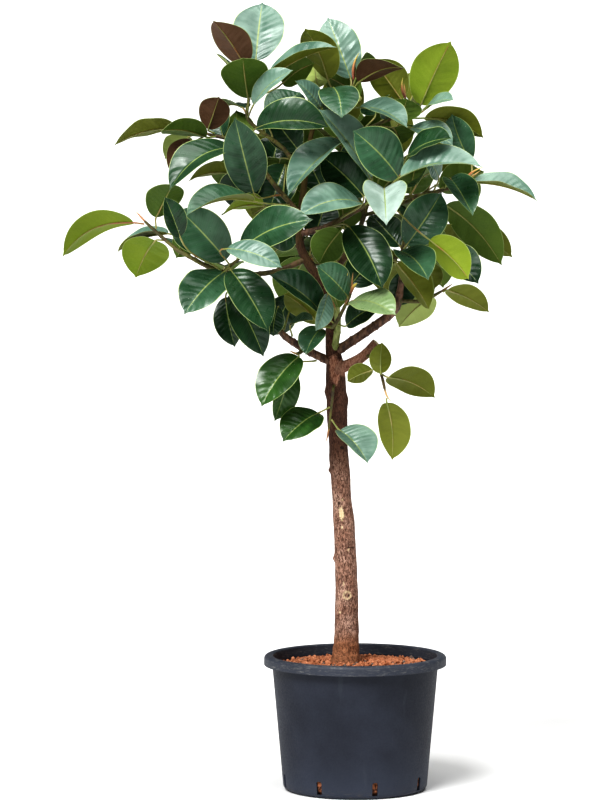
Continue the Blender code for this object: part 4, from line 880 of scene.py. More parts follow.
def pot_look():
    """Moulded plastic: fine orange peel, dust, scuffs and a painted highlight on the rim, dirt and a
    painted reflection of the floor low down.
    """
    n = Nodes("pot_plastic")
    place = n.coordinates()
    height = n.split(place)[2]
    cloud = n.noise(place, 7.0, 5.0, 0.6)
    fine = n.noise(place, 240.0, 4.0, 0.6)
    streak = n.noise(n.scaled(place, (1.0, 1.0, 0.12)), 45.0, 4.0, 0.6)
    scuff = n.noise(n.scaled(place, (1.0, 1.0, 5.0)), 60.0, 6.0, 0.7, 0.8)
    colour = n.mix(n.ramp(cloud, 0.35, 0.7), (0.0165, 0.0195, 0.0300), (0.0260, 0.0305, 0.0450))
    colour = n.mix(n.ramp(streak, 0.60, 0.80, 0.0, 0.25), colour, (0.060, 0.068, 0.080))
    rim = n.ramp(height, POT_HEIGHT - RIM_HEIGHT - 0.002, POT_HEIGHT - RIM_HEIGHT + 0.002)
    # Painted reflection of the pale floor: the plastic turns lighter and bluer towards the foot.
    colour = n.mix(n.ramp(height, 0.11, 0.0, 0.0, 0.40), colour, (0.056, 0.068, 0.098))
    # Painted highlight: the whole rim is mixed towards a lighter grey-blue copy of the plastic.
    colour = n.mix(n.math("MULTIPLY", rim, 0.30), colour, (0.075, 0.084, 0.104))
    dust = n.math("MULTIPLY", rim, n.ramp(scuff, 0.50, 0.70, 0.0, 0.75))
    colour = n.mix(dust, colour, (0.150, 0.150, 0.145))
    low = n.math("MULTIPLY", n.ramp(height, 0.030, 0.0), n.ramp(scuff, 0.50, 0.68, 0.0, 0.5))
    colour = n.mix(low, colour, (0.110, 0.090, 0.070))
    normal = n.bump(n.math("MULTIPLY_ADD", scuff, 0.3, fine), 0.22, 0.0006)
    return n.finish(colour, n.ramp(fine, 0.3, 0.7, 0.50, 0.66), normal, Specular_IOR_Level=0.32)


def floor_look():
    n = Nodes("floor_paint")
    cloud = n.noise(n.coordinates(), 2.0, 3.0)
    colour = n.mix(n.ramp(cloud, 0.3, 0.7), (0.74, 0.74, 0.735), (0.76, 0.76, 0.755))
    return n.finish(colour, 0.9, Specular_IOR_Level=0.1)


# Meshes


def loft(rings):
    """Vertices and faces of a closed skin through rings of equally many points."""
    count = len(rings[0])
    vertices = [point for ring in rings for point in ring]
    faces = [tuple(range(count))[::-1]]
    for row in range(len(rings) - 1):
        for k in range(count):
            a = row * count + k
            b = row * count + (k + 1) % count
            faces.append((a, b, b + count, a + count))
    faces.append(tuple(range(len(vertices) - count, len(vertices))))
    return vertices, faces


def new_mesh(name, vertices, faces, looks, smooth_below=45):
    mesh = bpy.data.meshes.new(name)
    mesh.from_pydata([tuple(v) for v in vertices], [], faces)
    for look in looks:
        mesh.materials.append(look)
    mesh.shade_smooth()
    mesh.set_sharp_from_angle(angle=math.radians(smooth_below))
    return mesh


def new_object(name, mesh):
    made = bpy.data.objects.new(name, mesh)
    bpy.context.scene.collection.objects.link(made)
    return made


def applied(rough):
    """The object's mesh with its modifiers applied. The object itself is removed."""
    graph = bpy.context.evaluated_depsgraph_get()
    mesh = bpy.data.meshes.new_from_object(rough.evaluated_get(graph))
    bpy.data.objects.remove(rough)
    return mesh


def outward(mesh):
    """Turns all the mesh's faces outward."""
    work = bmesh.new()
    work.from_mesh(mesh)
    bmesh.ops.recalc_face_normals(work, faces=work.faces)
    work.to_mesh(mesh)
    work.free()


def reshaped(mesh, places, look):
    """Moves the mesh's vertices and gives it one smooth look."""
    mesh.vertices.foreach_set("co", places)
    mesh.materials.clear()
    mesh.materials.append(look)
    mesh.shade_smooth()


def joined(parts):
    """Vertices and faces of several closed skins as one mesh."""
    vertices, faces = [], []
    for some, more in parts:
        faces += [tuple(i + len(vertices) for i in face) for face in more]
        vertices += some
    return vertices, faces


def finish_piece(piece, slot, *nodes):
    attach(piece, "root")
    if nodes:
        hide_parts(*nodes)


def point_colours(mesh, name, colours):
    layer = mesh.color_attributes.new(name=name, type="FLOAT_COLOR", domain="POINT")
    layer.data.foreach_set("color", [c for colour in colours for c in (*colour, 1.0)])


def smooth_step(value, low, high):
    t = min(max((value - low) / (high - low), 0.0), 1.0)
    return t * t * (3 - 2 * t)


# Stems, as in the CAD model


def smooth_path(points, step=PATH_STEP):
    """Catmull-Rom curve through points of any size, with a point about every step."""
    rows = [Vector(p) for p in points]
    rows = [rows[0] * 2 - rows[1], *rows, rows[-1] * 2 - rows[-2]]
    path = []
    for a, b, c, d in zip(rows, rows[1:], rows[2:], rows[3:]):
        steps = max(1, round((c - b).length / step))
        for k in range(steps):
            t = k / steps
            bend = (2 * a - 5 * b + 4 * c - d) * t**2 + (3 * b - a - 3 * c + d) * t**3
            path.append((2 * b + (c - a) * t + bend) / 2)
    path.append(rows[-2])
    return path


def from_fork(point):
    return Vector((FORK_X + point[0], point[1], SURFACE_Z + FORK_HEIGHT + point[2]))


def stem_path(name, step=PATH_STEP):
    """The stem's axis as (centre, radius) pairs in the world."""
    rows = smooth_path(STEMS[name], step)
    return [(from_fork(row), row[3]) for row in rows]


def trunk_path(step=PATH_STEP):
    """The trunk from its buried foot to the leader's bud."""
    rows = []
    for share, sideways, radius in TRUNK_STATIONS:
        height = share * (FORK_HEIGHT if share > 0 else SOCKET_DEPTH)
        rows.append((sideways, 0.0, SURFACE_Z + height, radius))
    for x, y, height, radius in STEMS["leader"]:
        place = from_fork((x, y, height))
        rows.append((place.x, place.y, place.z, radius))
    return [(Vector(row[:3]), row[3]) for row in smooth_path(rows, step)]


def tube_rings(path, sides):
    """Round rings square to the path, turned as little as possible from one to the next."""
    rings = []
    across = Vector((0, -1, 0))
    for k, (centre, radius) in enumerate(path):
        ahead = path[min(k + 1, len(path) - 1)][0] - path[max(k - 1, 0)][0]
        ahead.normalize()
        across = (across - ahead * across.dot(ahead)).normalized()
        beside = ahead.cross(across)
        turns = [math.tau * n / sides for n in range(sides)]
        rings.append([centre + (across * math.cos(t) + beside * math.sin(t)) * radius for t in turns])
    return rings


# Leaves, placed as in the CAD model


def petiole_root(path, base):
    """Where a petiole leaves its stem, and the blade's base pushed out if it is too near the stem."""
    near = min(range(len(path)), key=lambda k: (path[k][0] - base).length)
    reach = (path[near][0] - base).length / 2
    while near > 1 and reach > 0:
        reach -= (path[near][0] - path[near - 1][0]).length
        near -= 1
    centre, radius = path[near]
    along = (path[min(near + 1, len(path) - 1)][0] - path[near - 1][0]).normalized()
    out = (base - centre).normalized()
    cosine = abs(out.dot(along))
    sine = max(math.sqrt(1 - cosine**2), 0.35)
    start = (radius + CLEARANCE + PETIOLE_RADIUS * cosine) / sine
    length = max((base - centre).length, start + PETIOLE_LEAST)
    return centre + out * start, centre + out * length


def leaf_rings(path, base, tip, width, turn, tilt, fold, arch, swell=0.0):
    """Rings of one plain leaf from the petiole's root to the tip."""
    root, base = petiole_root(path, base)
    chord, face, side = leaf_frame(base, tip, turn, tilt)
    fold = math.radians(fold)
    thick = LEAF_HALF_THICKNESS + swell
    stations = [(root, base - root, PETIOLE_RADIUS, PETIOLE_RADIUS, 0.0)]
    for u, share in BLADE:
        centre = base + chord * u + face * (arch * chord.length * 4 * u * (1 - u))
        ahead = chord + face * (arch * chord.length * 4 * (1 - 2 * u))
        if u == 0:
            ahead = (base - root).normalized() * chord.length + ahead
        half = max(share * width / 2, LEAF_HALF_THICKNESS) + swell
        stations.append((centre, ahead, half, thick + (PETIOLE_RADIUS - thick) * (1 - u) ** 6, fold))
    rings = []
    for centre, ahead, half, high, bend in stations:
        ahead = ahead.normalized()
        across = (side - ahead * side.dot(ahead)).normalized()
        up = across.cross(ahead)
        ring = []
        for v, level in SECTION:
            rise = abs(v) * half * math.sin(bend) + level * high
            ring.append(centre + (across * (v * half * math.cos(bend)) + up * rise))
        rings.append(ring)
    return rings


def leaf_frame(base, tip, turn, tilt):
    """The blade's chord, its upper side's direction and its sideways direction."""
    chord = tip - base
    forward = chord.normalized()
    turn, tilt = math.radians(turn), math.radians(tilt)
    face = Vector((math.sin(turn) * math.cos(tilt), -math.cos(turn) * math.cos(tilt), math.sin(tilt)))
    face = (face - forward * face.dot(forward)).normalized()
    return chord, face, forward.cross(face)


def swings():
    """Shifts in depth for a blade's base and tip, the smallest first."""
    yield 0.0, 0.0
    for k in range(1, SWINGS + 1):
        for sign in (-1, 1):
            for share in (0.0, 0.5, 1.0):
                yield sign * k * SWING_STEP * share, sign * k * SWING_STEP


def tree_of(rings):
    vertices, faces = loft(rings)
    return BVHTree.FromPolygons([tuple(v) for v in vertices], faces)


def place_leaf(stem, base, tip, form, obstacles):
    """The leaf's path, base, tip and form, swung in depth until it is clear of all that came before."""
    path = trunk_path() if stem == "leader" else stem_path(stem)
    for base_shift, tip_shift in swings():
        base_now = from_fork(base) + Vector((0, base_shift, 0))
        tip_now = from_fork(tip) + Vector((0, tip_shift, 0))
        shape = (path, base_now, tip_now, *form)
        tree = tree_of(leaf_rings(*shape, swell=CLEARANCE * 2))
        if not any(tree.overlap(other) for other in obstacles):
            break
    obstacles.append(tree)
    return shape


def blade_share(u):
    """Half width along the blade: an oval that narrows to a short drip tip."""
    body = math.sin(math.pi * min(u / DRIP_START, 1.0)) ** (OVAL_BASE + OVAL_TIP * u)
    drip = DRIP_WIDTH * min((1 - u) / (1 - DRIP_START), 1.0) if u > 0.5 else 0.0
    return max(body, drip, LEAST_SHARE)


class Blade:
    """The midline and waves of one leaf, drawn from its name."""

    def __init__(self, name, shape):
        path, base, tip, width, turn, tilt, fold, arch = shape
        draw = random.Random(name)
        self.root, self.base = petiole_root(path, base)
        self.chord, self.face, self.side = leaf_frame(self.base, tip, turn, tilt)
        length = self.chord.length
        self.width = width
        self.fold = math.radians(fold)
        self.twist = math.radians(draw.uniform(-TWIST, TWIST))
        self.cup = draw.uniform(*CUP)
        self.wave, self.waves = draw.uniform(*WAVE_HEIGHT) * width, draw.uniform(*WAVES)
        self.phases = draw.uniform(0, math.tau), draw.uniform(0, math.tau)
        self.bow, self.shift = arch * length * 4, draw.uniform(-SWEEP, SWEEP) * length * 4
        self.ripples, self.ripple_height = draw.uniform(*RIPPLES), draw.uniform(*RIPPLE_HEIGHT)
        self.tone = draw.random()

    def place(self, u):
        """Centre at a share of the length, with the directions ahead, across and up there."""
        centre = self.base + self.chord * u + self.face * (self.bow * u * (1 - u))
        centre += self.side * (self.shift * u * (1 - u))
        ahead = self.chord + self.face * (self.bow * (1 - 2 * u)) + self.side * (self.shift * (1 - 2 * u))
        ahead.normalize()
        across = (self.side - ahead * self.side.dot(ahead)).normalized()
        up = across.cross(ahead)
        roll = self.twist * (2 * u - 0.6)
        cosine, sine = math.cos(roll), math.sin(roll)
        return centre, ahead, across * cosine + up * sine, up * cosine - across * sine

    def lift(self, u, v, half):
        """Height over the midline at a share of the length and of the half width."""
        out = abs(v)
        phase = self.phases[0] if v < 0 else self.phases[1]
        lift = half * (out * math.sin(self.fold) + self.cup * math.sin(math.pi * out))
        swell = math.sin(math.tau * self.waves * u + phase)
        lift += self.wave * out**2 * swell * math.sin(math.pi * min(u * 1.1, 1.0))
        ripple = math.sin(math.tau * self.ripples * (u - VEIN_SLANT * out) + phase * 2)
        return lift + self.ripple_height * ripple * 4 * out * (1 - out) * math.sin(math.pi * u)

    def points(self):
        """Points of the upper and then the lower side, and each one's place across and along."""
        upper, lower, marks = [], [], []
        for k in range(BLADE_STATIONS + 1):
            u = 0.5 - 0.5 * math.cos(math.pi * k / BLADE_STATIONS)
            centre, _, across, up = self.place(u)
            half = blade_share(u) * LEAF_BROADER * self.width / 2
            for j in range(BLADE_ACROSS + 1):
                v = 2 * j / BLADE_ACROSS - 1
                point = centre + across * (v * half * math.cos(self.fold)) + up * self.lift(u, v, half)
                upper.append(point + up * BLADE_THICKNESS / 2)
                lower.append(point - up * BLADE_THICKNESS / 2)
                marks.append((j / BLADE_ACROSS, u))
        return upper + lower, marks + marks

    def rib(self):
        """Path of the petiole and the midrib."""
        path = []
        along = self.base - self.root
        turning = along.normalized() - self.place(0.0)[1]
        for k in range(PETIOLE_STEPS):
            t = k / PETIOLE_STEPS
            bend = self.root.lerp(self.base, t) + turning * (along.length * t * t * (1 - t))
            path.append((bend, PETIOLE_RADIUS * (1.08 - 0.18 * math.sin(math.pi * t))))
        for k in range(MIDRIB_STEPS):
            u = k / MIDRIB_STEPS * MIDRIB_END
            centre, _, _, up = self.place(u)
            radius = (PETIOLE_RADIUS * 0.9 - MIDRIB_LEAST) * (1 - u) ** 1.2 + MIDRIB_LEAST
            path.append((centre - up * radius * smooth_step(u, 0.0, 0.12) * 0.85, radius))
        return path


def blade_faces():
    """Faces of a blade's two sides and its edge, and each face's material slot."""
    row = BLADE_ACROSS + 1
    under = row * (BLADE_STATIONS + 1)
    faces, slots = [], []
    for k in range(BLADE_STATIONS):
        for j in range(BLADE_ACROSS):
            a = k * row + j
            faces.append((a, a + 1, a + row + 1, a + row))
            faces.append((a + under, a + row + under, a + row + 1 + under, a + 1 + under))
            slots += [0, 1]
    edge = [k * row for k in range(BLADE_STATIONS + 1)]
    edge += [BLADE_STATIONS * row + j for j in range(1, row)]
    edge += [k * row + BLADE_ACROSS for k in range(BLADE_STATIONS - 1, -1, -1)]
    edge += range(BLADE_ACROSS - 1, 0, -1)
    for a, b in zip(edge, edge[1:] + edge[:1]):
        faces.append((a, b, b + under, a + under))
        slots.append(0)
    return faces, slots


def build_leaf(name, shape, looks):
    """A fine leaf: waved blade with two sides, midrib and petiole."""
    blade = Blade(name, shape)
    vertices, coordinates = blade.points()
    faces, slots = blade_faces()
    rib_vertices, rib_faces = loft(tube_rings(blade.rib(), MIDRIB_SIDES))
    offset = len(vertices)
    vertices += rib_vertices
    coordinates += [(0.5, 0.5)] * len(rib_vertices)
    faces += [tuple(i + offset for i in corners) for corners in rib_faces]
    slots += [2] * len(rib_faces)

    mesh = new_mesh(name + "_leaf", vertices, faces, looks, 60)
    mesh.polygons.foreach_set("material_index", slots)
    layer = mesh.uv_layers.new(name="leaf")
    layer.data.foreach_set("uv", [c for loop in mesh.loops for c in coordinates[loop.vertex_index]])
    point_colours(mesh, "tone", [(blade.tone,) * 3] * len(vertices))
    outward(mesh)
    return new_object(name + "_leaf", mesh)


def build_leaves():
    upper = {key: leaf_upper("leaf_upper_" + key, *pair) for key, pair in UPPER_COLOURS.items()}
    lower = {key: leaf_lower("leaf_lower_" + key, *pair) for key, pair in LOWER_COLOURS.items()}
    petiole = petiole_look()
    obstacles = [tree_of(tube_rings(trunk_path(), TRUNK_SIDES))]
    obstacles += [tree_of(tube_rings(stem_path(stem), BRANCH_SIDES)) for stem in STEMS]
    for row in (*LEAVES, *REAR_LEAVES, *INNER_LEAVES):
        name, stem, base, tip, width, *angles, arch, look = row
        base, tip = ([value / 1000 for value in point] for point in (base, tip))
        shape = place_leaf(stem, base, tip, (width / 1000, *angles, arch), obstacles)
        leaf = build_leaf(name, shape, (upper[look[0]], lower[look[1]], petiole))
        finish_piece(leaf, "leaf", *(["leaf_" + name] if row in LEAVES else []))


# Wood


def fused_tubes(name, paths, sides, voxel):
    """One skin round several tubes, with the joins rounded."""
    skins = joined(loft(tube_rings(path, sides)) for path in paths)
    rough = new_object(name + "_rough", new_mesh(name, *skins, ()))
    remesh = rough.modifiers.new("skin", "REMESH")
    remesh.mode = "VOXEL"
    remesh.voxel_size = voxel
    smooth = rough.modifiers.new("soften", "SMOOTH")
    smooth.factor = 0.5
    smooth.iterations = 3
    return applied(rough)


def nearest_on(paths):
    """A tree over all the paths' points, with each point's centre, radius and path number."""
    rows = [(centre, radius, number) for number, path in enumerate(paths) for centre, radius in path]
    tree = kdtree.KDTree(len(rows))
    for k, (centre, _, _) in enumerate(rows):
        tree.insert(centre, k)
    tree.balance()
    return tree, rows


def mark_at(height, turn, radius):
    """Pale wood, dark hole, torn bark and lift from the trunk's marks at a height and a turn."""
    pale = dark = torn = lift = 0.0
    for level, facing, high, wide, kind in TRUNK_MARKS:
        round_about = (turn - facing + 180) % 360 - 180
        across = math.radians(round_about) * radius / wide
        up = (height - level) / high
        distance = math.hypot(across, up)
        if distance > 2.2:
            continue
        ragged = distance + 0.30 * noise.noise(Vector((turn * 0.12, height * 420, level * 90)))
        inside = 1 - smooth_step(ragged, 0.75, 1.0)
        lip = math.exp(-(((distance - 1.15) / 0.25) ** 2))
        if kind == "scar":
            pale = max(pale, inside)
            lift += 0.0012 * lip - 0.0010 * inside
        elif kind == "fleck":
            pale = max(pale, 0.8 * inside)
        elif kind == "dark":
            dark = max(dark, 0.8 * inside)
            lift -= 0.0012 * inside
        elif kind == "torn":
            torn = max(torn, inside)
            lift -= 0.0008 * inside
        elif kind == "eyes":
            holes = min(math.hypot(across - 0.42, up + 0.1), math.hypot(across + 0.42, up) * 1.4)
            dark = max(dark, 1 - smooth_step(holes, 0.18, 0.34))
            pale = max(pale, 0.75 * math.exp(-(((ragged - 0.85) / 0.22) ** 2)))
            lift += 0.0014 * lip - 0.0022 * (1 - smooth_step(holes, 0.15, 0.4))
        elif kind == "ring":
            groove = math.exp(-(((distance - 0.9) / 0.14) ** 2))
            groove += math.exp(-(((distance - 0.45) / 0.12) ** 2))
            dark = max(dark, 0.45 * groove)
            lift += 0.0012 * math.exp(-(distance**2)) - 0.0006 * groove
        elif kind == "slit":
            dark = max(dark, 1 - smooth_step(distance, 0.75, 1.15))
            lift += 0.0006 * math.exp(-(((distance - 1.6) / 0.3) ** 2))
        else:
            lift += 0.0042 * math.exp(-(distance**2) * 1.3)
    return pale, dark, torn, lift


def build_trunk(bark):
    """Trunk, leader and pruned stub with fine ridges, knots and scars."""
    paths = [trunk_path(TRUNK_STEP), stem_path("pruned_stub", STUB_STEP)]
    mesh = fused_tubes("trunk", paths, FINE_TRUNK_SIDES, TRUNK_VOXEL)
    tree, rows = nearest_on(paths)
    cut_end = from_fork(STEMS["pruned_stub"][-1])
    places, marks, zones = [], [], []
    for vertex in mesh.vertices:
        point, normal = vertex.co.copy(), vertex.normal.copy()
        _, k, _ = tree.find(point)
        centre, radius, number = rows[k]
        turn = math.degrees(math.atan2(point.x - centre.x, centre.y - point.y))
        height = point.z - SURFACE_Z
        foot = 1 - smooth_step(height, *FOOT_ZONE)
        ridge = noise.noise(Vector((point.x * 150, point.y * 150, point.z * 34)))
        lump = noise.noise(Vector((point.x * 30, point.y * 30, point.z * 22)) + Vector((9, 3, 5)))
        ring = noise.noise(Vector((point.x * 40, point.y * 40, point.z * 130)))
        lift = radius * (0.030 * ridge + 0.045 * lump + 0.018 * ring)
        lift += foot * 0.0022 * noise.noise(Vector((point.x * 70, point.y * 70, point.z * 70)))
        below_fork = number == 0 and height < FORK_HEIGHT
        pale, dark, torn, extra = mark_at(height, turn, radius) if below_fork else (0.0, 0.0, 0.0, 0.0)
        # The leader's young bark in the crown, whose colour also holds painted shade.
        young = smooth_step(height, FORK_HEIGHT + 0.10, FORK_HEIGHT + 0.34)
        # Painted shade under the crown, mixed with the bark's own darker colour there.
        shaded = smooth_step(height, *DARK_AND_SHADED_ZONE)
        if number == 1:
            shaded, torn = 0.0, 0.55
            hole = (point - cut_end).length
            if hole < 0.0135 and normal.x > 0.45:
                pale = 0.7
            dark = math.exp(-(((point - cut_end - Vector((-0.021, -0.010, -0.006))).length / 0.0042) ** 2))
        places += (point + normal * (lift + extra))[:]
        marks.append((pale, dark, young))
        zones.append((foot, shaded * (1 - torn), torn))
    reshaped(mesh, places, bark)
    point_colours(mesh, "marks", marks)
    point_colours(mesh, "zones", zones)
    finish_piece(new_object("trunk_wood", mesh), "bark", "trunk")


def build_green_stub(green_skin):
    """The young shoot on the front stub."""
    stub = ringed(stem_path("green_stub", STEM_STEP), random.Random(5))
    mesh = fused_tubes("green_stub", [stub], FINE_STUB_SIDES, STEM_VOXEL)
    mesh.materials.clear()
    mesh.materials.append(green_skin)
    mesh.shade_smooth()
    finish_piece(new_object("green_stub_wood", mesh), "young_stem", "trunk")


def build_sheaths(look):
    """Long pointed sheaths over the newest leaves, curved a little towards their tips."""
    for k, (stem, foot, tip, thick) in enumerate(SHEATHS):
        path = trunk_path() if stem == "leader" else stem_path(stem)
        start, end = from_fork(foot), from_fork(tip)
        start = min((centre for centre, _ in path), key=lambda centre: (centre - start).length)
        bend = (end - start).cross(Vector((0, 1, 0))) * SHEATH_BEND
        rows = []
        for step in range(SHEATH_STEPS + 1):
            t = step / SHEATH_STEPS
            centre = start.lerp(end, t) + bend * (t * (1 - t) * 4)
            radius = thick * math.sin(math.pi * min(0.25 + 0.75 * t, 1.0)) ** 0.8
            rows.append((centre, max(radius, SHEATH_LEAST)))
        vertices, faces = loft(tube_rings(rows, SHEATH_SIDES))
        mesh = new_mesh(f"sheath_{k + 1}", vertices, faces, (look,))
        shares = [i // SHEATH_SIDES / SHEATH_STEPS for i in range(len(vertices))]
        point_colours(mesh, "share", [(share,) * 3 for share in shares])
        finish_piece(new_object(f"sheath_{k + 1}", mesh), "young_stem")


def ringed(path, draw):
    """The path with the swollen rings that fallen leaves and stipules leave on a stem."""
    rows, since, gap = [], 0.0, draw.uniform(0.012, 0.03)
    for k, (centre, radius) in enumerate(path):
        since += (centre - path[k - 1][0]).length if k else 0.0
        swollen = 0.0
        if since > gap:
            since, gap = 0.0, draw.uniform(*RING_GAP)
            swollen = RING_SWELLING
        rows.append((centre, radius * (1 + swollen)))
    return rows


def bud_path(path):
    """The last stretch filled out to a pointed bud."""
    last = path[-1][0]
    rows = []
    for centre, radius in path:
        left = (last - centre).length
        if left < BUD_LENGTH:
            share = left / BUD_LENGTH
            radius = max(BUD_LEAST, BUD_RADIUS * share**0.6 * (1.25 - 0.4 * left / BUD_LENGTH))
        rows.append((centre, radius))
    return rows


def build_branch(name, stems, look):
    draw = random.Random(name)
    plain = [stem_path(stem, STEM_STEP) for stem in stems]
    paths = [ringed(bud_path(path), draw) for path in plain]
    mesh = fused_tubes(name, paths, FINE_STEM_SIDES, STEM_VOXEL)
    tree, rows = nearest_on(plain)
    tips = [path[-1][0] for path in plain]
    places, colours = [], []
    for vertex in mesh.vertices:
        point, normal = vertex.co.copy(), vertex.normal.copy()
        _, k, _ = tree.find(point)
        radius = rows[k][1]
        grain = noise.noise(Vector((point.x * 140, point.y * 140, point.z * 60)))
        lift = radius * 0.07 * grain
        bud = max(1 - smooth_step((point - tip).length, BUD_LENGTH * 0.75, BUD_LENGTH) for tip in tips)
        young = 1 - smooth_step(radius, *YOUNG_RADII)
        ring = smooth_step(grain, 0.45, 0.6)
        places += (point + normal * lift)[:]
        colours.append((bud, ring * 0.6 * (1 - bud), young))
    reshaped(mesh, places, look)
    point_colours(mesh, "marks", colours)
    finish_piece(new_object(name + "_wood", mesh), "young_stem", name)


# Pot and substrate


def lathe(name, profile, looks):
    """Turns a profile of (radius, height) that starts and ends on the axis."""
    vertices, faces = [], []
    rings = []
    for radius, height in profile:
        if radius == 0:
            rings.append([len(vertices)] * POT_SEGMENTS)
            vertices.append((0, 0, height))
            continue
        rings.append(list(range(len(vertices), len(vertices) + POT_SEGMENTS)))
        for k in range(POT_SEGMENTS):
            turn = math.tau * k / POT_SEGMENTS
            vertices.append((radius * math.cos(turn), radius * math.sin(turn), height))
    for first, second in zip(rings, rings[1:]):
        for k in range(POT_SEGMENTS):
            n = (k + 1) % POT_SEGMENTS
            face = [first[k], second[k], second[n], first[n]]
            faces.append(tuple(dict.fromkeys(face)))
    return new_mesh(name, vertices, faces, looks, 35)


def arc(centre, radius, start, end, steps):
    """Points (radius, height) on an arc between two angles in degrees."""
    turns = [math.radians(start + (end - start) * k / steps) for k in range(steps + 1)]
    return [(centre[0] + radius * math.cos(t), centre[1] + radius * math.sin(t)) for t in turns]


def inner_radius(height):
    """The pot's inside radius at a height between the floor's round corner and the rim."""
    low = POT_WALL + BASE_CORNER
    share = max((height - low) / (POT_HEIGHT - RIM_HEIGHT - low), 0.0)
    return BASE_RADIUS + (SHOULDER_RADIUS - BASE_RADIUS) * share - POT_WALL


def slot_cutters():
    """Round-topped bars through the wall near the foot, one for each drain slot."""
    bars = []
    inside, outside = BASE_RADIUS - POT_WALL * 3, SHOULDER_RADIUS
    outline = [(-SLOT_WIDTH / 2, SLOT_BOTTOM), (SLOT_WIDTH / 2, SLOT_BOTTOM)]
    top = SLOT_BOTTOM + SLOT_HEIGHT - SLOT_CORNER
    outline += arc((SLOT_WIDTH / 2 - SLOT_CORNER, top), SLOT_CORNER, 0, 90, 4)
    outline += arc((SLOT_CORNER - SLOT_WIDTH / 2, top), SLOT_CORNER, 90, 180, 4)
    for k in range(SLOT_COUNT):
        turn = SLOT_TURN + k * math.tau / SLOT_COUNT
        out = Vector((math.sin(turn), -math.cos(turn), 0))
        side = Vector((math.cos(turn), math.sin(turn), 0))
        rings = []
        for reach in (inside, outside):
            rings.append([out * reach + side * a + Vector((0, 0, b)) for a, b in outline])
        bars.append(loft(rings))
    mesh = new_mesh("slot_cutters", *joined(bars), ())
    outward(mesh)
    return new_object("slot_cutters", mesh)


def build_pot(look):
    """Moulded container: rolled rim with a lip, thin tapered wall, rounded foot and drain slots."""
    under_rim = POT_HEIGHT - RIM_HEIGHT
    roll = RIM_OVERHANG * RIM_ROLL
    inner = SHOULDER_RADIUS - POT_WALL
    lower = inner_radius(0.0)
    profile = [(0.0, POT_WALL), (lower - BASE_CORNER, POT_WALL)]
    profile += arc((lower - BASE_CORNER, POT_WALL + BASE_CORNER), BASE_CORNER, -80, 0, 8)
    profile += [(inner, under_rim), (inner + POT_WALL * 0.4, POT_HEIGHT - POT_WALL)]
    profile += arc((inner + POT_WALL * 1.2, POT_HEIGHT - POT_WALL * 0.8), POT_WALL * 0.8, 180, 90, 5)
    profile += arc((RIM_RADIUS - roll, POT_HEIGHT - roll), roll, 90, 0, 10)
    profile += [(RIM_RADIUS, under_rim + 0.0025)]
    profile += arc((RIM_RADIUS - LIP_ROUND, under_rim + LIP_ROUND), LIP_ROUND, 0, -90, 4)
    profile += [(RIM_RADIUS - 0.0045, under_rim), (RIM_RADIUS - 0.006, under_rim + 0.006)]
    profile += [(SHOULDER_RADIUS + 0.004, under_rim + 0.0075)]
    profile += [(SHOULDER_RADIUS + 0.0006, under_rim + 0.005)]
    profile += [(SHOULDER_RADIUS, under_rim)]
    profile += [((BASE_RADIUS + SHOULDER_RADIUS) / 2, (under_rim + BASE_CORNER) / 2)]
    profile += arc((BASE_RADIUS - BASE_CORNER, BASE_CORNER), BASE_CORNER, 0, -90, 8)
    profile += [(0.0, 0.0)]
    rough = new_object("pot_rough", lathe("pot_shell", profile, (look,)))
    outward(rough.data)
    cutter = slot_cutters()
    cut = rough.modifiers.new("slots", "BOOLEAN")
    cut.operation = "DIFFERENCE"
    cut.object = cutter
    mesh = applied(rough)
    bpy.data.objects.remove(cutter)
    mesh.shade_smooth()
    mesh.set_sharp_from_angle(angle=math.radians(35))
    finish_piece(new_object("pot_shell", mesh), "pot_plastic", "pot")


def mound(radius):
    """Height of the substrate's surface at a distance from the pot's axis."""
    edge = POT_HEIGHT - EDGE_DROP
    crown = SURFACE_Z - CROWN_DROP
    return edge + (crown - edge) * (1 - smooth_step(radius, 0.06, 0.18))


def build_bed(look):
    """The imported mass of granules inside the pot."""
    floor = POT_WALL + CLEARANCE
    foot = floor + BASE_CORNER
    rim = POT_HEIGHT - EDGE_DROP - BED_DROP
    profile = [(0.0, mound(0.0) - BED_DROP)]
    profile += [(radius, mound(radius) - BED_DROP) for radius in (0.03, 0.06, 0.09, 0.12, 0.15, 0.17)]
    profile += [(inner_radius(rim) - 0.0008, rim - 0.001), (inner_radius(foot) - 0.001, foot)]
    profile += [(inner_radius(0.0) - BASE_CORNER, floor), (0.0, floor)]
    mesh = lathe("clay_bed", profile, (look,))
    outward(mesh)
    finish_piece(new_object("clay_bed", mesh), "clay_granules", "substrate")


def granule_template():
    work = bmesh.new()
    bmesh.ops.create_icosphere(work, subdivisions=1, radius=1.0)
    vertices = [v.co.copy() for v in work.verts]
    faces = [tuple(v.index for v in f.verts) for f in work.faces]
    work.free()
    return vertices, faces


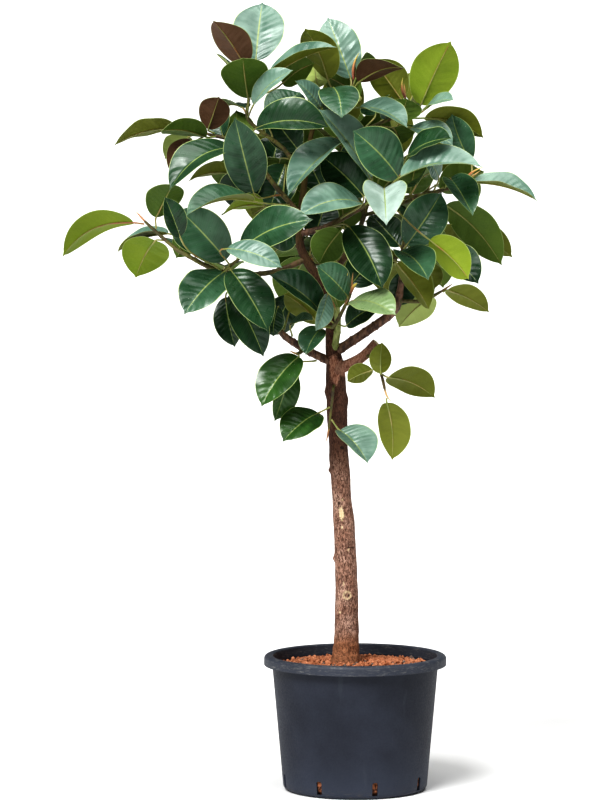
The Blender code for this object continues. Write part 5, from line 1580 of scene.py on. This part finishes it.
def build_granules(look):
    """Loose fired-clay granules on top, each a lumpy stone of its own size and tint."""
    draw = random.Random(31)
    corners, sides = granule_template()
    edge = inner_radius(POT_HEIGHT - EDGE_DROP) - 0.0045
    trunk_x = TRUNK_STATIONS[2][1]
    vertices, faces, colours = [], [], []
    for _ in range(GRANULES):
        radius = math.sqrt(draw.random()) * edge
        turn = draw.uniform(0, math.tau)
        x, y = radius * math.cos(turn), radius * math.sin(turn)
        size = draw.uniform(*GRANULE_SIZE)
        if math.hypot(x - trunk_x, y) < TRUNK_ROOM + size * 0.5:
            continue
        lift = draw.uniform(*GRANULE_LIFT)
        centre = Vector((x, y, mound(radius) + lift))
        stretch = [size * draw.uniform(0.75, 1.2) for _ in range(3)]
        seed = Vector((draw.uniform(0, 50), draw.uniform(0, 50), draw.uniform(0, 50)))
        roll = draw.uniform(0, math.tau)
        spin = math.cos(roll), math.sin(roll)
        if draw.random() < GREY_SHARE:
            tint = GREY_CLAY
        else:
            warm = draw.random()
            tint = (0.37 + 0.25 * warm, 0.145 + 0.135 * warm, 0.070 + 0.085 * warm)
        start = len(vertices)
        for corner in corners:
            rough = 1 + 0.28 * noise.noise(corner * 1.3 + seed)
            a, b, c = (corner[i] * stretch[i] * rough for i in range(3))
            vertices.append(centre + Vector((a * spin[0] - b * spin[1], a * spin[1] + b * spin[0], c)))
            colours.append(tint)
        faces += [tuple(i + start for i in side) for side in sides]
    mesh = new_mesh("clay_granules", vertices, faces, (look,), 50)
    point_colours(mesh, "tint", colours)
    finish_piece(new_object("clay_granules", mesh), "clay_granules")


# Stage


def build_stage():
    work = bmesh.new()
    bmesh.ops.create_circle(work, cap_ends=True, radius=FLOOR_RADIUS, segments=POT_SEGMENTS // 2)
    mesh = bpy.data.meshes.new("floor")
    work.to_mesh(mesh)
    work.free()
    mesh.materials.append(floor_look())
    floor = new_object("floor", mesh)
    floor.location.z = -FLOOR_DROP

    world = bpy.data.worlds.new("studio")
    bpy.context.scene.world = world
    world.use_nodes = True
    tree = world.node_tree
    direction = tree.nodes.new("ShaderNodeTexCoord").outputs["Generated"]
    split = tree.nodes.new("ShaderNodeSeparateXYZ")
    ramp = tree.nodes.new("ShaderNodeMapRange")
    ramp.inputs["From Min"].default_value, ramp.inputs["From Max"].default_value = SKY_BAND
    ramp.inputs["To Min"].default_value = HORIZON_LIGHT
    ramp.inputs["To Max"].default_value = SKY_LIGHT
    tree.links.new(direction, split.inputs[0])
    tree.links.new(split.outputs["Z"], ramp.inputs["Value"])
    tree.links.new(ramp.outputs[0], tree.nodes["Background"].inputs["Strength"])
    tree.nodes["Background"].inputs["Color"].default_value = (1.0, 1.0, 1.0, 1)

    for name, towards, angle, strength in SUNS:
        sun = bpy.data.lights.new(name, "SUN")
        sun.angle = math.radians(angle)
        sun.energy = strength
        made = bpy.data.objects.new(name, sun)
        made.rotation_euler = Vector(towards).to_track_quat("Z", "Y").to_euler()
        bpy.context.scene.collection.objects.link(made)


def build_camera():
    lens = bpy.data.cameras.new("camera")
    lens.lens = LENS
    lens.sensor_width = SENSOR
    camera = bpy.data.objects.new("camera", lens)
    camera.location = CAMERA_PLACE
    camera.rotation_euler = (CAMERA_TARGET - CAMERA_PLACE).to_track_quat("-Z", "Y").to_euler()
    bpy.context.scene.collection.objects.link(camera)
    bpy.context.scene.camera = camera


def main():
    build_camera()
    build_stage()
    build_pot(pot_look())
    build_bed(bed_look())
    build_granules(granule_look())
    build_trunk(bark_look())
    build_green_stub(green_skin_look())
    build_sheaths(sheath_look())
    skin = stem_look()
    for name, stems in BRANCHES.items():
        build_branch(name, stems, skin)
    build_leaves()
    bpy.context.scene.view_settings.view_transform = "Standard"
    bpy.context.scene.view_settings.look = CONTRAST


main()
